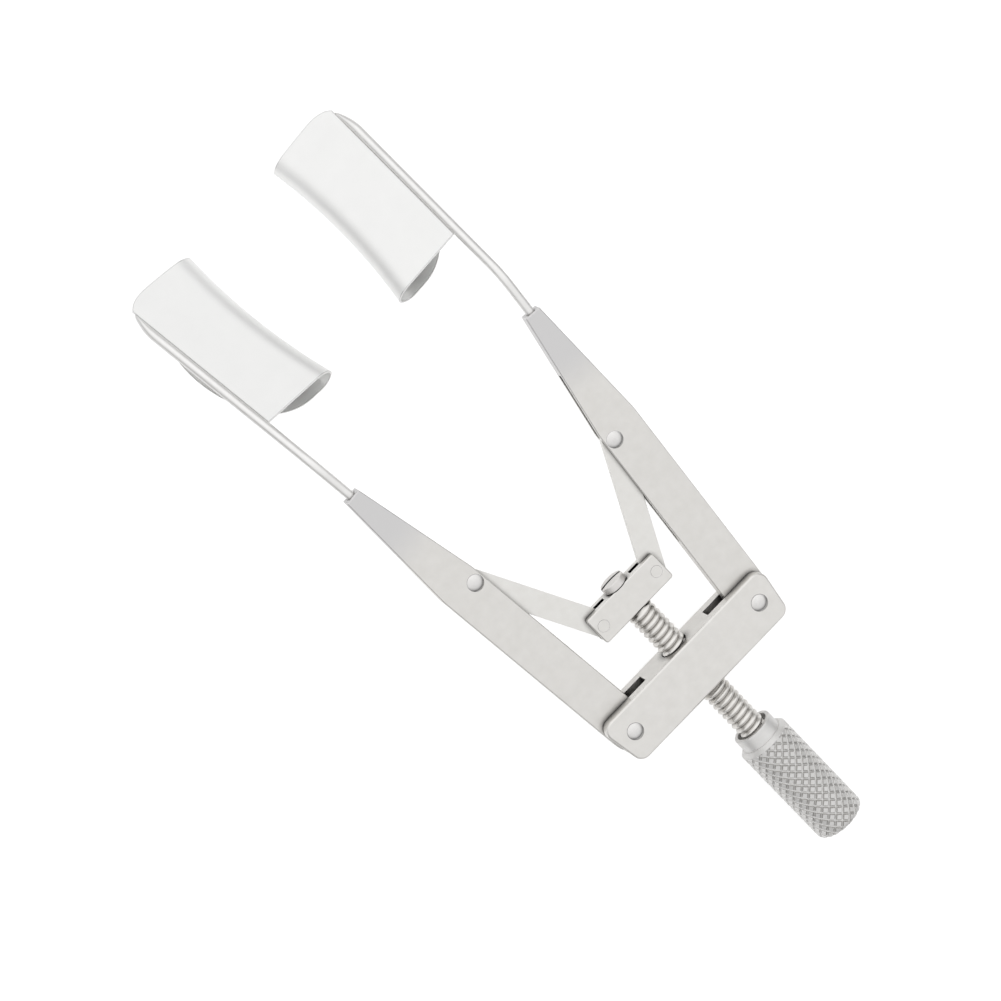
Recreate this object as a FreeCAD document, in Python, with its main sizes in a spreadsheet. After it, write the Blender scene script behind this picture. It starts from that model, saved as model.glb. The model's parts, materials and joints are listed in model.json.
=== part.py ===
import FreeCAD, Part
import math
import os

import Sketcher
from FreeCAD import Placement, Rotation, Vector

# Eye speculum with solid blades, worked by a thumbscrew.
#
# The mechanism is drawn in its own frame: the screw axis is Y, pointing at the blades, the two
# base pins lie on X, and Z is up. The right half (+X) is drawn and the left half is its mirror
# image. At the end the whole instrument is tipped nose up by lie_angle, the way it lies on a
# table on its knob and its two blades.
#
# Sizes are in millimetres and degrees. Each one is written once, here.
SIZES = [
    # Base bar: the yoke that carries both arms and the thread of the screw.
    ("base_front_half", 10.0, "half length along its front edge"),
    ("base_rear_half", 9.25, "half length along its rear edge"),
    ("base_front", 2.22, "from the pin line to the front face"),
    ("base_rear", 2.55, "from the pin line to the rear face"),
    ("base_thick", 4.0, "thickness"),
    ("base_corner", 1.0, "corner radius in plan"),
    ("base_chamfer", 0.14, "bright chamfer round both flat faces"),
    ("web_half", 3.93, "half width of the solid middle between the two arm slots"),
    # Running and seating clearances.
    ("pin_clear", 0.04, "radial clearance of a hinge pin"),
    ("side_clear", 0.05, "clearance on each flat side of a part in its slot"),
    ("seat_gap", 0.01, "gap round a riveted, brazed or screwed piece in its seat"),
    ("thread_clear", 0.05, "radial clearance of the screw in the base bar"),
    # Arms.
    ("arm_pivot_x", 7.8, "from the screw axis to an arm's pivot"),
    ("arm_angle", 5.6, "how far an arm points outward as photographed"),
    ("arm_length", 32.85, "from the pivot to the tip"),
    ("arm_root", 1.8, "from the pivot to the root end"),
    ("arm_width", 3.95, "width of the parallel part"),
    ("arm_tip_width", 1.55, "width at the tip"),
    ("arm_taper_from", 20.6, "from the pivot to where the taper starts"),
    ("arm_thick", 1.5, "thickness"),
    ("arm_root_radius", 1.7, "corner radius of the root end"),
    ("arm_chamfer", 0.08, "chamfer round both flat faces"),
    ("link_slot_near", 8.3, "from the pivot to the near end of the slot for the link"),
    ("link_slot_far", 27.9, "from the pivot to the far end of that slot"),
    ("link_slot_depth", 0.5, "how far that slot passes the arm's middle line"),
    ("link_slot_runout", 4.2, "length of the run-out at each end of that slot"),
    # Pins.
    ("pivot_pin_r", 0.75, "radius of a base pin"),
    ("pin_dome", 0.28, "how far a rivet stands proud of its face"),
    ("arm_pin_head_r", 0.76, "radius of the arm rivet's head"),
    ("arm_pin_shank_r", 0.45, "radius of the arm rivet's shank"),
    ("arm_pin_sink", 0.2, "how deep the arm rivet's head sits in the arm"),
    ("arm_pin_y", 19.49, "from the pivot to the arm rivet, along the arm"),
    ("arm_pin_inset", 1.07, "from the arm's middle line in to the arm rivet"),
    ("cross_pin_r", 0.53, "radius of a crosshead pin"),
    # Links.
    ("link_length", 12.23, "between the link's two pin centres"),
    ("link_width", 2.2, "width"),
    ("link_thick", 0.6, "thickness"),
    ("link_play", 0.3, "extra radial play of the link on the arm rivet"),
    # Crosshead.
    ("cross_pin_x", 3.3, "from the screw axis to a crosshead pin"),
    ("cross_half", 4.12, "half length"),
    ("cross_depth", 2.8, "depth along the screw axis"),
    ("cross_thick", 2.1, "thickness"),
    ("cross_web_half", 1.6, "half width of the solid middle between the two link slots"),
    ("cross_corner", 0.25, "corner radius in plan"),
    # Screw with its knob and retaining screw.
    ("screw_r", 1.3, "radius over the thread's crests"),
    ("screw_free", 5.68, "free screw between the base bar and the knob"),
    ("journal_r", 0.65, "radius of the journal that turns in the crosshead"),
    ("shoulder_gap", 0.03, "end float at each side of the crosshead"),
    ("screw_in_knob", 6.0, "how deep the screw sits in the knob"),
    ("head_r", 1.17, "radius of the retaining screw's head"),
    ("head_height", 0.9, "height of that head"),
    ("head_dome", 0.45, "rounding of that head"),
    ("head_slot_width", 0.38, "width of its screwdriver slot"),
    ("head_slot_depth", 0.36, "depth of its screwdriver slot"),
    ("head_shank_r", 0.33, "radius of the retaining screw's shank"),
    ("head_shank_length", 1.6, "length of that shank"),
    ("collar_r", 1.95, "radius of the smooth collar ahead of the grip"),
    ("collar_length", 1.3, "length of the collar"),
    ("collar_recess_r", 1.6, "radius of the recess in the collar's face"),
    ("collar_recess_depth", 0.7, "depth of that recess"),
    ("grip_r", 2.48, "radius over the knurled grip"),
    ("grip_length", 11.0, "length of the knurled grip"),
    ("grip_front_chamfer", 0.35, "chamfer at the grip's front"),
    ("grip_rear_radius", 0.5, "rounding at the grip's rear"),
    # Wires that carry the blades.
    ("wire_r", 0.43, "radius"),
    ("wire_in_arm", 3.0, "how deep the wire is set in the arm's tip"),
    ("wire_straight", 2.8, "from the arm's tip to the bend"),
    ("wire_bend_r", 4.4, "radius of the bend, at the wire's axis"),
    ("wire_drop", 37.0, "how far the bend turns the wire down"),
    ("wire_roll", 1.7, "how far the bend leans toward the other arm"),
    ("wire_run", 4.15, "from the bend to the blade"),
    ("wire_end_gap", 0.3, "how far the wire stops short of the blade's front corner"),
    ("wire_tip_chamfer", 0.2, "chamfer of the wire's end"),
    # Solid blades.
    ("blade_length", 16.0, "length along the wire"),
    ("blade_lead", 0.8, "how far the fold runs on past the wire side, in front"),
    ("blade_width", 7.6, "from the wire's axis to the fold, at mid-length"),
    ("blade_slope", 20.0, "how far the upper leaf falls toward the fold"),
    ("blade_nose", 1.15, "how far the front edge runs ahead of the wire side"),
    ("blade_nose_at", 2.6, "from the wire's axis to the foremost point of that edge"),
    ("blade_overlap", 1.0, "metal past the wire's axis before the wire's seat is cut"),
    ("saddle_r", 58.0, "radius of the fold's hollow line, seen from above"),
    ("sheet", 0.4, "thickness of the blade's metal"),
    ("fold_r", 1.3, "outer radius of the fold"),
    ("lower_leaf_r", 24.0, "radius to which the lower leaf curves down"),
    ("lower_leaf_flat", 1.8, "from the fold to where the lower leaf's corners begin"),
    ("lower_corner_r", 4.5, "radius of the lower leaf's corners"),
    ("lower_side_r", 14.0, "radius of the lower leaf's long edge"),
    # The way it lies.
    ("lie_angle", 11.47, "nose-up angle when it lies on its knob and blades"),
]

BIG = 40.0
TINY = 1e-6


def make_sheet(doc):
    """Write the sizes into a spreadsheet and return it."""
    sheet = doc.addObject("Spreadsheet::Sheet", "sizes")
    for row, (alias, value, note) in enumerate(SIZES, start=1):
        sheet.set("A%d" % row, alias)
        sheet.set("B%d" % row, str(value))
        sheet.set("C%d" % row, note)
        sheet.setAlias("B%d" % row, alias)
    doc.recompute()
    return sheet


def add_body(doc, name):
    """Add an empty body whose label is the name of the piece."""
    body = doc.addObject("PartDesign::Body", name)
    body.Label = name
    return body


def add_sketch(body, name, role, offset=0.0):
    """Add a sketch on one of the body's own origin planes, moved along its normal."""
    sketch = body.newObject("Sketcher::SketchObject", name)
    plane = [item for item in body.Origin.OriginFeatures if item.Role == role][0]
    sketch.AttachmentSupport = [(plane, "")]
    sketch.MapMode = "FlatFace"
    sketch.AttachmentOffset = Placement(Vector(0, 0, offset), Rotation())
    return sketch


def lock(sketch, geometry, end, x_text, y_text):
    """Tie one end of a line or arc to two formulas."""
    for kind, text in (("DistanceX", x_text), ("DistanceY", y_text)):
        value = float(sketch.evalExpression(text))
        index = sketch.addConstraint(Sketcher.Constraint(kind, -1, 1, geometry, end, value))
        sketch.setExpression("Constraints[%d]" % index, text)


def arc_through(start, stop, radius, left):
    """Return the short arc from start to stop whose centre lies on the left or right of that way."""
    middle = (start + stop) * 0.5
    along = stop - start
    half = along.Length / 2.0
    rise = math.sqrt(max(radius * radius - half * half, 0.0))
    across = Vector(-along.y, along.x, 0).normalize()
    centre = middle + across * (rise if left else -rise)
    top = centre + across * (-radius if left else radius)
    return Part.Arc(start, top, stop).toShape().Curve, centre


def add_outline(sketch, corners):
    """Draw a closed outline.

    Each corner is (x formula, y formula, edge), where edge describes the way to the next corner:
    None for a straight line, or (radius formula, "left" or "right") for the short arc whose
    centre lies on that side.
    """
    points = []
    for x_text, y_text, _ in corners:
        x = float(sketch.evalExpression(x_text))
        y = float(sketch.evalExpression(y_text))
        points.append(Vector(x, y, 0))
    count = len(corners)
    edges = []
    for index in range(count):
        start = points[index]
        stop = points[(index + 1) % count]
        edge = corners[index][2]
        if edge is None:
            geometry = sketch.addGeometry(Part.LineSegment(start, stop), False)
            edges.append((geometry, 1, 2))
            continue
        radius = float(sketch.evalExpression(edge[0]))
        centre = arc_through(start, stop, radius, edge[1] == "left")[1]
        first = math.atan2(start.y - centre.y, start.x - centre.x)
        last = math.atan2(stop.y - centre.y, stop.x - centre.x)
        forward = edge[1] == "left"
        if not forward:
            first, last = last, first
        circle = Part.Circle(centre, Vector(0, 0, 1), radius)
        geometry = sketch.addGeometry(Part.ArcOfCircle(circle, first, last), False)
        edges.append((geometry, 1, 2) if forward else (geometry, 2, 1))
    for index in range(count):
        geometry, start, stop = edges[index]
        following = edges[(index + 1) % count]
        sketch.addConstraint(
            Sketcher.Constraint("Coincident", geometry, stop, following[0], following[1])
        )
        lock(sketch, geometry, start, corners[index][0], corners[index][1])
        edge = corners[index][2]
        if edge is not None:
            radius = float(sketch.evalExpression(edge[0]))
            place = sketch.addConstraint(Sketcher.Constraint("Radius", geometry, radius))
            sketch.setExpression("Constraints[%d]" % place, edge[0])


def add_rectangle(sketch, left, right, low, high):
    """Draw a rectangle between four formulas."""
    add_outline(
        sketch,
        [(left, low, None), (right, low, None), (right, high, None), (left, high, None)],
    )


def add_circle(sketch, x_text, y_text, radius_text):
    """Draw a circle whose centre and radius follow formulas."""
    x = float(sketch.evalExpression(x_text))
    y = float(sketch.evalExpression(y_text))
    radius = float(sketch.evalExpression(radius_text))
    circle = sketch.addGeometry(Part.Circle(Vector(x, y, 0), Vector(0, 0, 1), radius), False)
    lock(sketch, circle, 3, x_text, y_text)
    place = sketch.addConstraint(Sketcher.Constraint("Radius", circle, radius))
    sketch.setExpression("Constraints[%d]" % place, radius_text)


def add_pad(body, sketch, name, length, both_ways=True):
    """Pad a sketch, by default the same amount to each side of its plane."""
    pad = body.newObject("PartDesign::Pad", name)
    pad.Profile = sketch
    pad.SideType = "Symmetric" if both_ways else "One side"
    pad.setExpression("Length", length)
    return pad


def add_pocket(doc, body, sketch, name, length, both_ways=True, reverse=False):
    """Pocket a sketch and make sure that it takes material away."""
    doc.recompute()
    before = body.Shape.Volume
    pocket = body.newObject("PartDesign::Pocket", name)
    pocket.Profile = sketch
    pocket.SideType = "Symmetric" if both_ways else "One side"
    pocket.Reversed = reverse
    pocket.setExpression("Length", length)
    doc.recompute()
    if body.Shape.Volume > before - TINY:
        raise ValueError("%s takes nothing away" % name)
    return pocket


def edge_names(shape, wanted):
    """Return the names of the shape's edges for which wanted(edge) is true."""
    return ["Edge%d" % (index + 1) for index, edge in enumerate(shape.Edges) if wanted(edge)]


def is_upright(edge):
    """Tell whether an edge runs straight along Z."""
    if len(edge.Vertexes) != 2:
        return False
    way = edge.Vertexes[1].Point - edge.Vertexes[0].Point
    return abs(way.x) < TINY and abs(way.y) < TINY and abs(way.z) > TINY


def lies_at_height(edge, height):
    """Tell whether an edge lies in a level plane at plus or minus the height."""
    box = edge.BoundBox
    return abs(box.ZMax - box.ZMin) < 1e-4 and abs(abs(box.ZMax) - height) < 1e-4


def add_dressing(doc, body, kind, name, size, wanted):
    """Fillet or chamfer those edges of the body's last feature for which wanted(edge) is true."""
    doc.recompute()
    tip = body.Tip
    edges = edge_names(tip.Shape, wanted)
    if not edges:
        raise ValueError("%s finds no edges" % name)
    feature = body.newObject("PartDesign::" + kind, name)
    feature.Base = (tip, edges)
    feature.setExpression("Radius" if kind == "Fillet" else "Size", size)
    return feature


def make_base_bar(doc, sheet):
    """Make the trapezoid bar with an open slot at each end and a bore for the screw."""
    body = add_body(doc, "base_bar")
    plan = add_sketch(body, "base_plan", "XY_Plane")
    add_outline(
        plan,
        [
            ("-sizes.base_rear_half", "-sizes.base_rear", None),
            ("sizes.base_rear_half", "-sizes.base_rear", None),
            ("sizes.base_front_half", "sizes.base_front", None),
            ("-sizes.base_front_half", "sizes.base_front", None),
        ],
    )
    add_pad(body, plan, "base_pad", "sizes.base_thick")
    add_dressing(doc, body, "Fillet", "base_corners", "sizes.base_corner", is_upright)
    half = sheet.base_thick / 2.0
    add_dressing(
        doc, body, "Chamfer", "base_edges", "sizes.base_chamfer",
        lambda edge: lies_at_height(edge, half),
    )
    slots = add_sketch(body, "arm_slot_section", "XZ_Plane")
    height = "sizes.arm_thick / 2 + sizes.side_clear"
    reach = "sizes.base_front_half + 1"
    add_rectangle(slots, "sizes.web_half", reach, "-(%s)" % height, height)
    add_rectangle(slots, "-(%s)" % reach, "-sizes.web_half", "-(%s)" % height, height)
    across = "4 * (sizes.base_front + sizes.base_rear)"
    add_pocket(doc, body, slots, "arm_slots", across)
    bore = add_sketch(body, "screw_bore_section", "XZ_Plane")
    add_circle(bore, "0", "0", "sizes.screw_r + sizes.thread_clear")
    add_pocket(doc, body, bore, "screw_bore", across)
    holes = add_sketch(body, "base_pin_plan", "XY_Plane")
    for x_text in ("-sizes.arm_pivot_x", "sizes.arm_pivot_x"):
        add_circle(holes, x_text, "0", "sizes.pivot_pin_r + sizes.seat_gap")
    add_pocket(doc, body, holes, "base_pin_holes", "2 * sizes.base_thick")
    return body


def cap_radius(radius, rise):
    """Return the formula for the radius of the ball whose cap has this foot radius and rise."""
    return "((%s) ^ 2 + (%s) ^ 2) / (2 * (%s))" % (radius, rise, rise)


def add_turning(body, profile, name):
    """Spin a half profile that lies to the right of the sketch's upright axis."""
    turn = body.newObject("PartDesign::Revolution", name)
    turn.Profile = profile
    turn.ReferenceAxis = (profile, ["V_Axis"])
    turn.Angle = 360.0
    return turn


def make_round_pin(doc, name, radius, length, dome):
    """Turn a plain pin along Z with a rounded cap at each end, or flat ends where dome is None."""
    body = add_body(doc, name)
    if dome is None:
        plan = add_sketch(body, name + "_plan", "XY_Plane")
        add_circle(plan, "0", "0", radius)
        add_pad(body, plan, name + "_pad", length)
        return body
    top = "(%s) / 2" % length
    foot = "%s - %s" % (top, dome)
    cap = (cap_radius(radius, dome), "left")
    profile = add_sketch(body, name + "_profile", "XZ_Plane")
    add_outline(
        profile,
        [
            ("0", "-(%s)" % top, cap),
            (radius, "-(%s)" % foot, None),
            (radius, foot, cap),
            ("0", top, None),
        ],
    )
    add_turning(body, profile, name + "_turned")
    return body


def make_arm(doc, sheet):
    """Make the right arm along its own Y axis, with its pivot at the origin."""
    body = add_body(doc, "arm_right")
    plan = add_sketch(body, "arm_plan", "XY_Plane")
    add_outline(
        plan,
        [
            ("-sizes.arm_width / 2", "-sizes.arm_root", None),
            ("sizes.arm_width / 2", "-sizes.arm_root", None),
            ("sizes.arm_width / 2", "sizes.arm_taper_from", None),
            ("sizes.arm_tip_width / 2", "sizes.arm_length", None),
            ("-sizes.arm_tip_width / 2", "sizes.arm_length", None),
            ("-sizes.arm_width / 2", "sizes.arm_taper_from", None),
        ],
    )
    add_pad(body, plan, "arm_pad", "sizes.arm_thick")
    root = -sheet.arm_root
    add_dressing(
        doc, body, "Fillet", "arm_root_round", "sizes.arm_root_radius",
        lambda edge: is_upright(edge) and abs(edge.BoundBox.YMin - root) < 1e-4,
    )
    half = sheet.arm_thick / 2.0
    add_dressing(
        doc, body, "Chamfer", "arm_edges", "sizes.arm_chamfer",
        lambda edge: lies_at_height(edge, half),
    )
    slot = add_sketch(body, "link_slot_plan", "XY_Plane")
    outside = "-sizes.arm_width"
    inside = "sizes.link_slot_depth"
    add_outline(
        slot,
        [
            (outside, "sizes.link_slot_near", None),
            ("-sizes.arm_width / 2", "sizes.link_slot_near", None),
            (inside, "sizes.link_slot_near + sizes.link_slot_runout", None),
            (inside, "sizes.link_slot_far - sizes.link_slot_runout", None),
            ("-sizes.arm_width / 2", "sizes.link_slot_far", None),
            (outside, "sizes.link_slot_far", None),
        ],
    )
    add_pocket(doc, body, slot, "link_slot", "sizes.link_thick + 2 * sizes.side_clear")
    holes = add_sketch(body, "arm_hole_plan", "XY_Plane")
    add_circle(holes, "0", "0", "sizes.pivot_pin_r + sizes.pin_clear")
    add_circle(
        holes, "-sizes.arm_pin_inset", "sizes.arm_pin_y", "sizes.arm_pin_shank_r + sizes.seat_gap"
    )
    add_pocket(doc, body, holes, "arm_holes", "2 * sizes.arm_thick")
    for name, sign in (("upper", 1), ("lower", -1)):
        sink = add_sketch(body, name + "_head_plan", "XY_Plane", sign * sheet.arm_thick / 2.0)
        add_circle(
            sink, "-sizes.arm_pin_inset", "sizes.arm_pin_y", "sizes.arm_pin_head_r + sizes.seat_gap"
        )
        add_pocket(
            doc, body, sink, name + "_head_seat", "sizes.arm_pin_sink", False, sign < 0
        )
    socket = add_sketch(body, "wire_socket_section", "XZ_Plane", -sheet.arm_length)
    add_circle(socket, "0", "0", "sizes.wire_r + sizes.seat_gap")
    add_pocket(doc, body, socket, "wire_socket", "sizes.wire_in_arm", False, True)
    return body


def make_arm_pin(doc, sheet):
    """Make the rivet that carries the link in the right arm, headed on both faces."""
    body = add_body(doc, "arm_pin_right")
    half = "(sizes.arm_thick / 2 - sizes.arm_pin_sink + sizes.seat_gap)"
    top = "(sizes.arm_thick / 2 + sizes.pin_dome)"
    rim = "(sizes.arm_thick / 2)"
    cap = (cap_radius("sizes.arm_pin_head_r", "sizes.pin_dome"), "left")
    profile = add_sketch(body, "arm_pin_profile", "XZ_Plane")
    add_outline(
        profile,
        [
            ("0", "-" + top, cap),
            ("sizes.arm_pin_head_r", "-" + rim, None),
            ("sizes.arm_pin_head_r", "-" + half, None),
            ("sizes.arm_pin_shank_r", "-" + half, None),
            ("sizes.arm_pin_shank_r", half, None),
            ("sizes.arm_pin_head_r", half, None),
            ("sizes.arm_pin_head_r", rim, cap),
            ("0", top, None),
        ],
    )
    add_turning(body, profile, "arm_pin_turned")
    return body


def make_link(doc):
    """Make the right link along Y, with the crosshead end at the origin."""
    body = add_body(doc, "link_right")
    plan = add_sketch(body, "link_plan", "XY_Plane")
    side = "sizes.link_width / 2"
    add_outline(
        plan,
        [
            ("0", "-" + side, (side, "left")),
            (side, "0", None),
            (side, "sizes.link_length", (side, "left")),
            ("0", "sizes.link_length + " + side, (side, "left")),
            ("-" + side, "sizes.link_length", None),
            ("-" + side, "0", (side, "left")),
        ],
    )
    add_pad(body, plan, "link_pad", "sizes.link_thick")
    holes = add_sketch(body, "link_hole_plan", "XY_Plane")
    add_circle(holes, "0", "0", "sizes.cross_pin_r + sizes.pin_clear")
    add_circle(
        holes, "0", "sizes.link_length", "sizes.arm_pin_shank_r + sizes.pin_clear + sizes.link_play"
    )
    add_pocket(doc, body, holes, "link_holes", "2 * sizes.link_thick")
    return body


def make_crosshead(doc, sheet):
    """Make the crosshead about its own centre, with a slot at each end and a journal bore."""
    body = add_body(doc, "crosshead")
    plan = add_sketch(body, "cross_plan", "XY_Plane")
    deep = "sizes.cross_depth / 2"
    add_rectangle(plan, "-sizes.cross_half", "sizes.cross_half", "-" + deep, deep)
    add_pad(body, plan, "cross_pad", "sizes.cross_thick")
    add_dressing(doc, body, "Fillet", "cross_corners", "sizes.cross_corner", is_upright)
    half = sheet.cross_thick / 2.0
    add_dressing(
        doc, body, "Chamfer", "cross_edges", "sizes.arm_chamfer",
        lambda edge: lies_at_height(edge, half),
    )
    slots = add_sketch(body, "cross_slot_section", "XZ_Plane")
    height = "(sizes.link_thick / 2 + sizes.side_clear)"
    reach = "(sizes.cross_half + 1)"
    add_rectangle(slots, "sizes.cross_web_half", reach, "-" + height, height)
    add_rectangle(slots, "-" + reach, "-sizes.cross_web_half", "-" + height, height)
    add_pocket(doc, body, slots, "cross_slots", "3 * sizes.cross_depth")
    bore = add_sketch(body, "journal_bore_section", "XZ_Plane")
    add_circle(bore, "0", "0", "sizes.journal_r + sizes.pin_clear")
    add_pocket(doc, body, bore, "journal_bore", "3 * sizes.cross_depth")
    holes = add_sketch(body, "cross_pin_hole_plan", "XY_Plane")
    for x_text in ("-sizes.cross_pin_x", "sizes.cross_pin_x"):
        add_circle(holes, x_text, "0", "sizes.cross_pin_r + sizes.seat_gap")
    add_pocket(doc, body, holes, "cross_pin_holes", "3 * sizes.cross_thick")
    return body


def make_screw(doc, sheet):
    """Turn the drive screw about Y, measured from the base pin line, with a tapped front end."""
    body = add_body(doc, "drive_screw")
    rear = "(-sizes.base_rear - sizes.screw_free - sizes.screw_in_knob)"
    back = "(%s - sizes.cross_depth / 2 - sizes.shoulder_gap)" % CROSS_Y
    front = "(%s + sizes.cross_depth / 2 + sizes.shoulder_gap / 2)" % CROSS_Y
    profile = add_sketch(body, "screw_profile", "XY_Plane")
    ease = "sizes.screw_r * 0.15"
    add_outline(
        profile,
        [
            ("0", rear, None),
            ("sizes.screw_r", rear, None),
            ("sizes.screw_r", back + " - " + ease, None),
            ("sizes.screw_r - " + ease, back, None),
            ("sizes.journal_r", back, None),
            ("sizes.journal_r", front, None),
            ("sizes.head_shank_r + sizes.seat_gap", front, None),
            ("sizes.head_shank_r + sizes.seat_gap", front + " - sizes.head_shank_length", None),
            ("0", front + " - sizes.head_shank_length", None),
        ],
    )
    add_turning(body, profile, "screw_turned")
    return body


def make_retaining_screw(doc, sheet):
    """Turn the slotted, domed screw that keeps the crosshead on its journal."""
    body = add_body(doc, "retaining_screw")
    seat = "(%s + sizes.cross_depth / 2 + sizes.shoulder_gap)" % CROSS_Y
    top = "(%s + sizes.head_height)" % seat
    tail = "(%s - sizes.head_shank_length + sizes.seat_gap)" % seat
    cap = (cap_radius("sizes.head_r", "sizes.head_dome"), "left")
    profile = add_sketch(body, "head_profile", "XY_Plane")
    add_outline(
        profile,
        [
            ("0", tail, None),
            ("sizes.head_shank_r", tail, None),
            ("sizes.head_shank_r", seat, None),
            ("sizes.head_r", seat, None),
            ("sizes.head_r", top + " - sizes.head_dome", cap),
            ("0", top, None),
        ],
    )
    add_turning(body, profile, "head_turned")
    doc.recompute()
    face = float(profile.evalExpression(top))
    slot = add_sketch(body, "driver_slot_section", "XZ_Plane", -face)
    wide = "sizes.head_slot_width / 2"
    add_rectangle(slot, "-" + wide, wide, "-2 * sizes.head_r", "2 * sizes.head_r")
    add_pocket(doc, body, slot, "driver_slot", "sizes.head_slot_depth", False, True)
    return body


def make_knob(doc, sheet):
    """Turn the knob with its smooth collar, its recess and the seat for the screw."""
    body = add_body(doc, "knob")
    face = "(-sizes.base_rear - sizes.screw_free)"
    step = "(%s - sizes.collar_length)" % face
    rear = "(%s - sizes.grip_length)" % step
    floor = "(%s - sizes.screw_in_knob - sizes.seat_gap)" % face
    seat = "sizes.screw_r + sizes.seat_gap"
    ease = "sizes.grip_front_chamfer"
    lip = "0.12"
    profile = add_sketch(body, "knob_profile", "XY_Plane")
    add_outline(
        profile,
        [
            ("0", rear, None),
            ("sizes.grip_r - sizes.grip_rear_radius", rear, ("sizes.grip_rear_radius", "left")),
            ("sizes.grip_r", rear + " + sizes.grip_rear_radius", None),
            ("sizes.grip_r", step + " - " + ease, None),
            ("sizes.grip_r - " + ease, step, None),
            ("sizes.collar_r", step, None),
            ("sizes.collar_r", face + " - " + lip, None),
            ("sizes.collar_r - " + lip, face, None),
            ("sizes.collar_recess_r", face, None),
            ("sizes.collar_recess_r", face + " - sizes.collar_recess_depth", None),
            (seat, face + " - sizes.collar_recess_depth", None),
            (seat, floor, None),
            ("0", floor, None),
        ],
    )
    add_turning(body, profile, "knob_turned")
    return body


def make_wire(doc, sheet):
    """Bend the right wire in its own YZ plane, with the arm's tip at the origin."""
    body = add_body(doc, "wire_right")
    path = add_sketch(body, "wire_path", "YZ_Plane")
    bend_y = sheet.wire_straight
    radius = sheet.wire_bend_r
    drop = math.radians(sheet.wire_drop)
    run = sheet.wire_run + sheet.blade_length - sheet.wire_end_gap
    start = Vector(-sheet.wire_in_arm + sheet.seat_gap, 0, 0)
    turn_in = Vector(bend_y, 0, 0)
    turn_out = Vector(bend_y + radius * math.sin(drop), -radius * (1 - math.cos(drop)), 0)
    stop = turn_out + Vector(math.cos(drop), -math.sin(drop), 0) * run
    root = path.addGeometry(Part.LineSegment(start, turn_in), False)
    circle = Part.Circle(Vector(bend_y, -radius, 0), Vector(0, 0, 1), radius)
    bend = path.addGeometry(Part.ArcOfCircle(circle, math.pi / 2 - drop, math.pi / 2), False)
    tail = path.addGeometry(Part.LineSegment(turn_out, stop), False)
    path.addConstraint(Sketcher.Constraint("Coincident", root, 2, bend, 2))
    path.addConstraint(Sketcher.Constraint("Coincident", bend, 1, tail, 1))
    lock(path, root, 1, "-sizes.wire_in_arm + sizes.seat_gap", "0")
    lock(path, root, 2, "sizes.wire_straight", "0")
    down = "(1 - cos(sizes.wire_drop))"
    out_y = "(sizes.wire_straight + sizes.wire_bend_r * sin(sizes.wire_drop))"
    out_z = "(-sizes.wire_bend_r * %s)" % down
    length = "(sizes.wire_run + sizes.blade_length - sizes.wire_end_gap)"
    lock(path, tail, 1, out_y, out_z)
    place = path.addConstraint(Sketcher.Constraint("Radius", bend, radius))
    path.setExpression("Constraints[%d]" % place, "sizes.wire_bend_r")
    lock(
        path, tail, 2,
        "%s + cos(sizes.wire_drop) * %s" % (out_y, length),
        "%s - sin(sizes.wire_drop) * %s" % (out_z, length),
    )
    section = add_sketch(body, "wire_section", "XZ_Plane", sheet.wire_in_arm - sheet.seat_gap)
    add_circle(section, "0", "0", "sizes.wire_r")
    pipe = body.newObject("PartDesign::AdditivePipe", "wire_bent")
    pipe.Profile = section
    pipe.Spine = path
    doc.recompute()
    far = Vector(0, stop.x, stop.y)
    add_dressing(
        doc, body, "Chamfer", "wire_tip", "sizes.wire_tip_chamfer",
        lambda edge: edge.Closed and (edge.CenterOfMass - far).Length < 0.05,
    )
    return body


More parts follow.
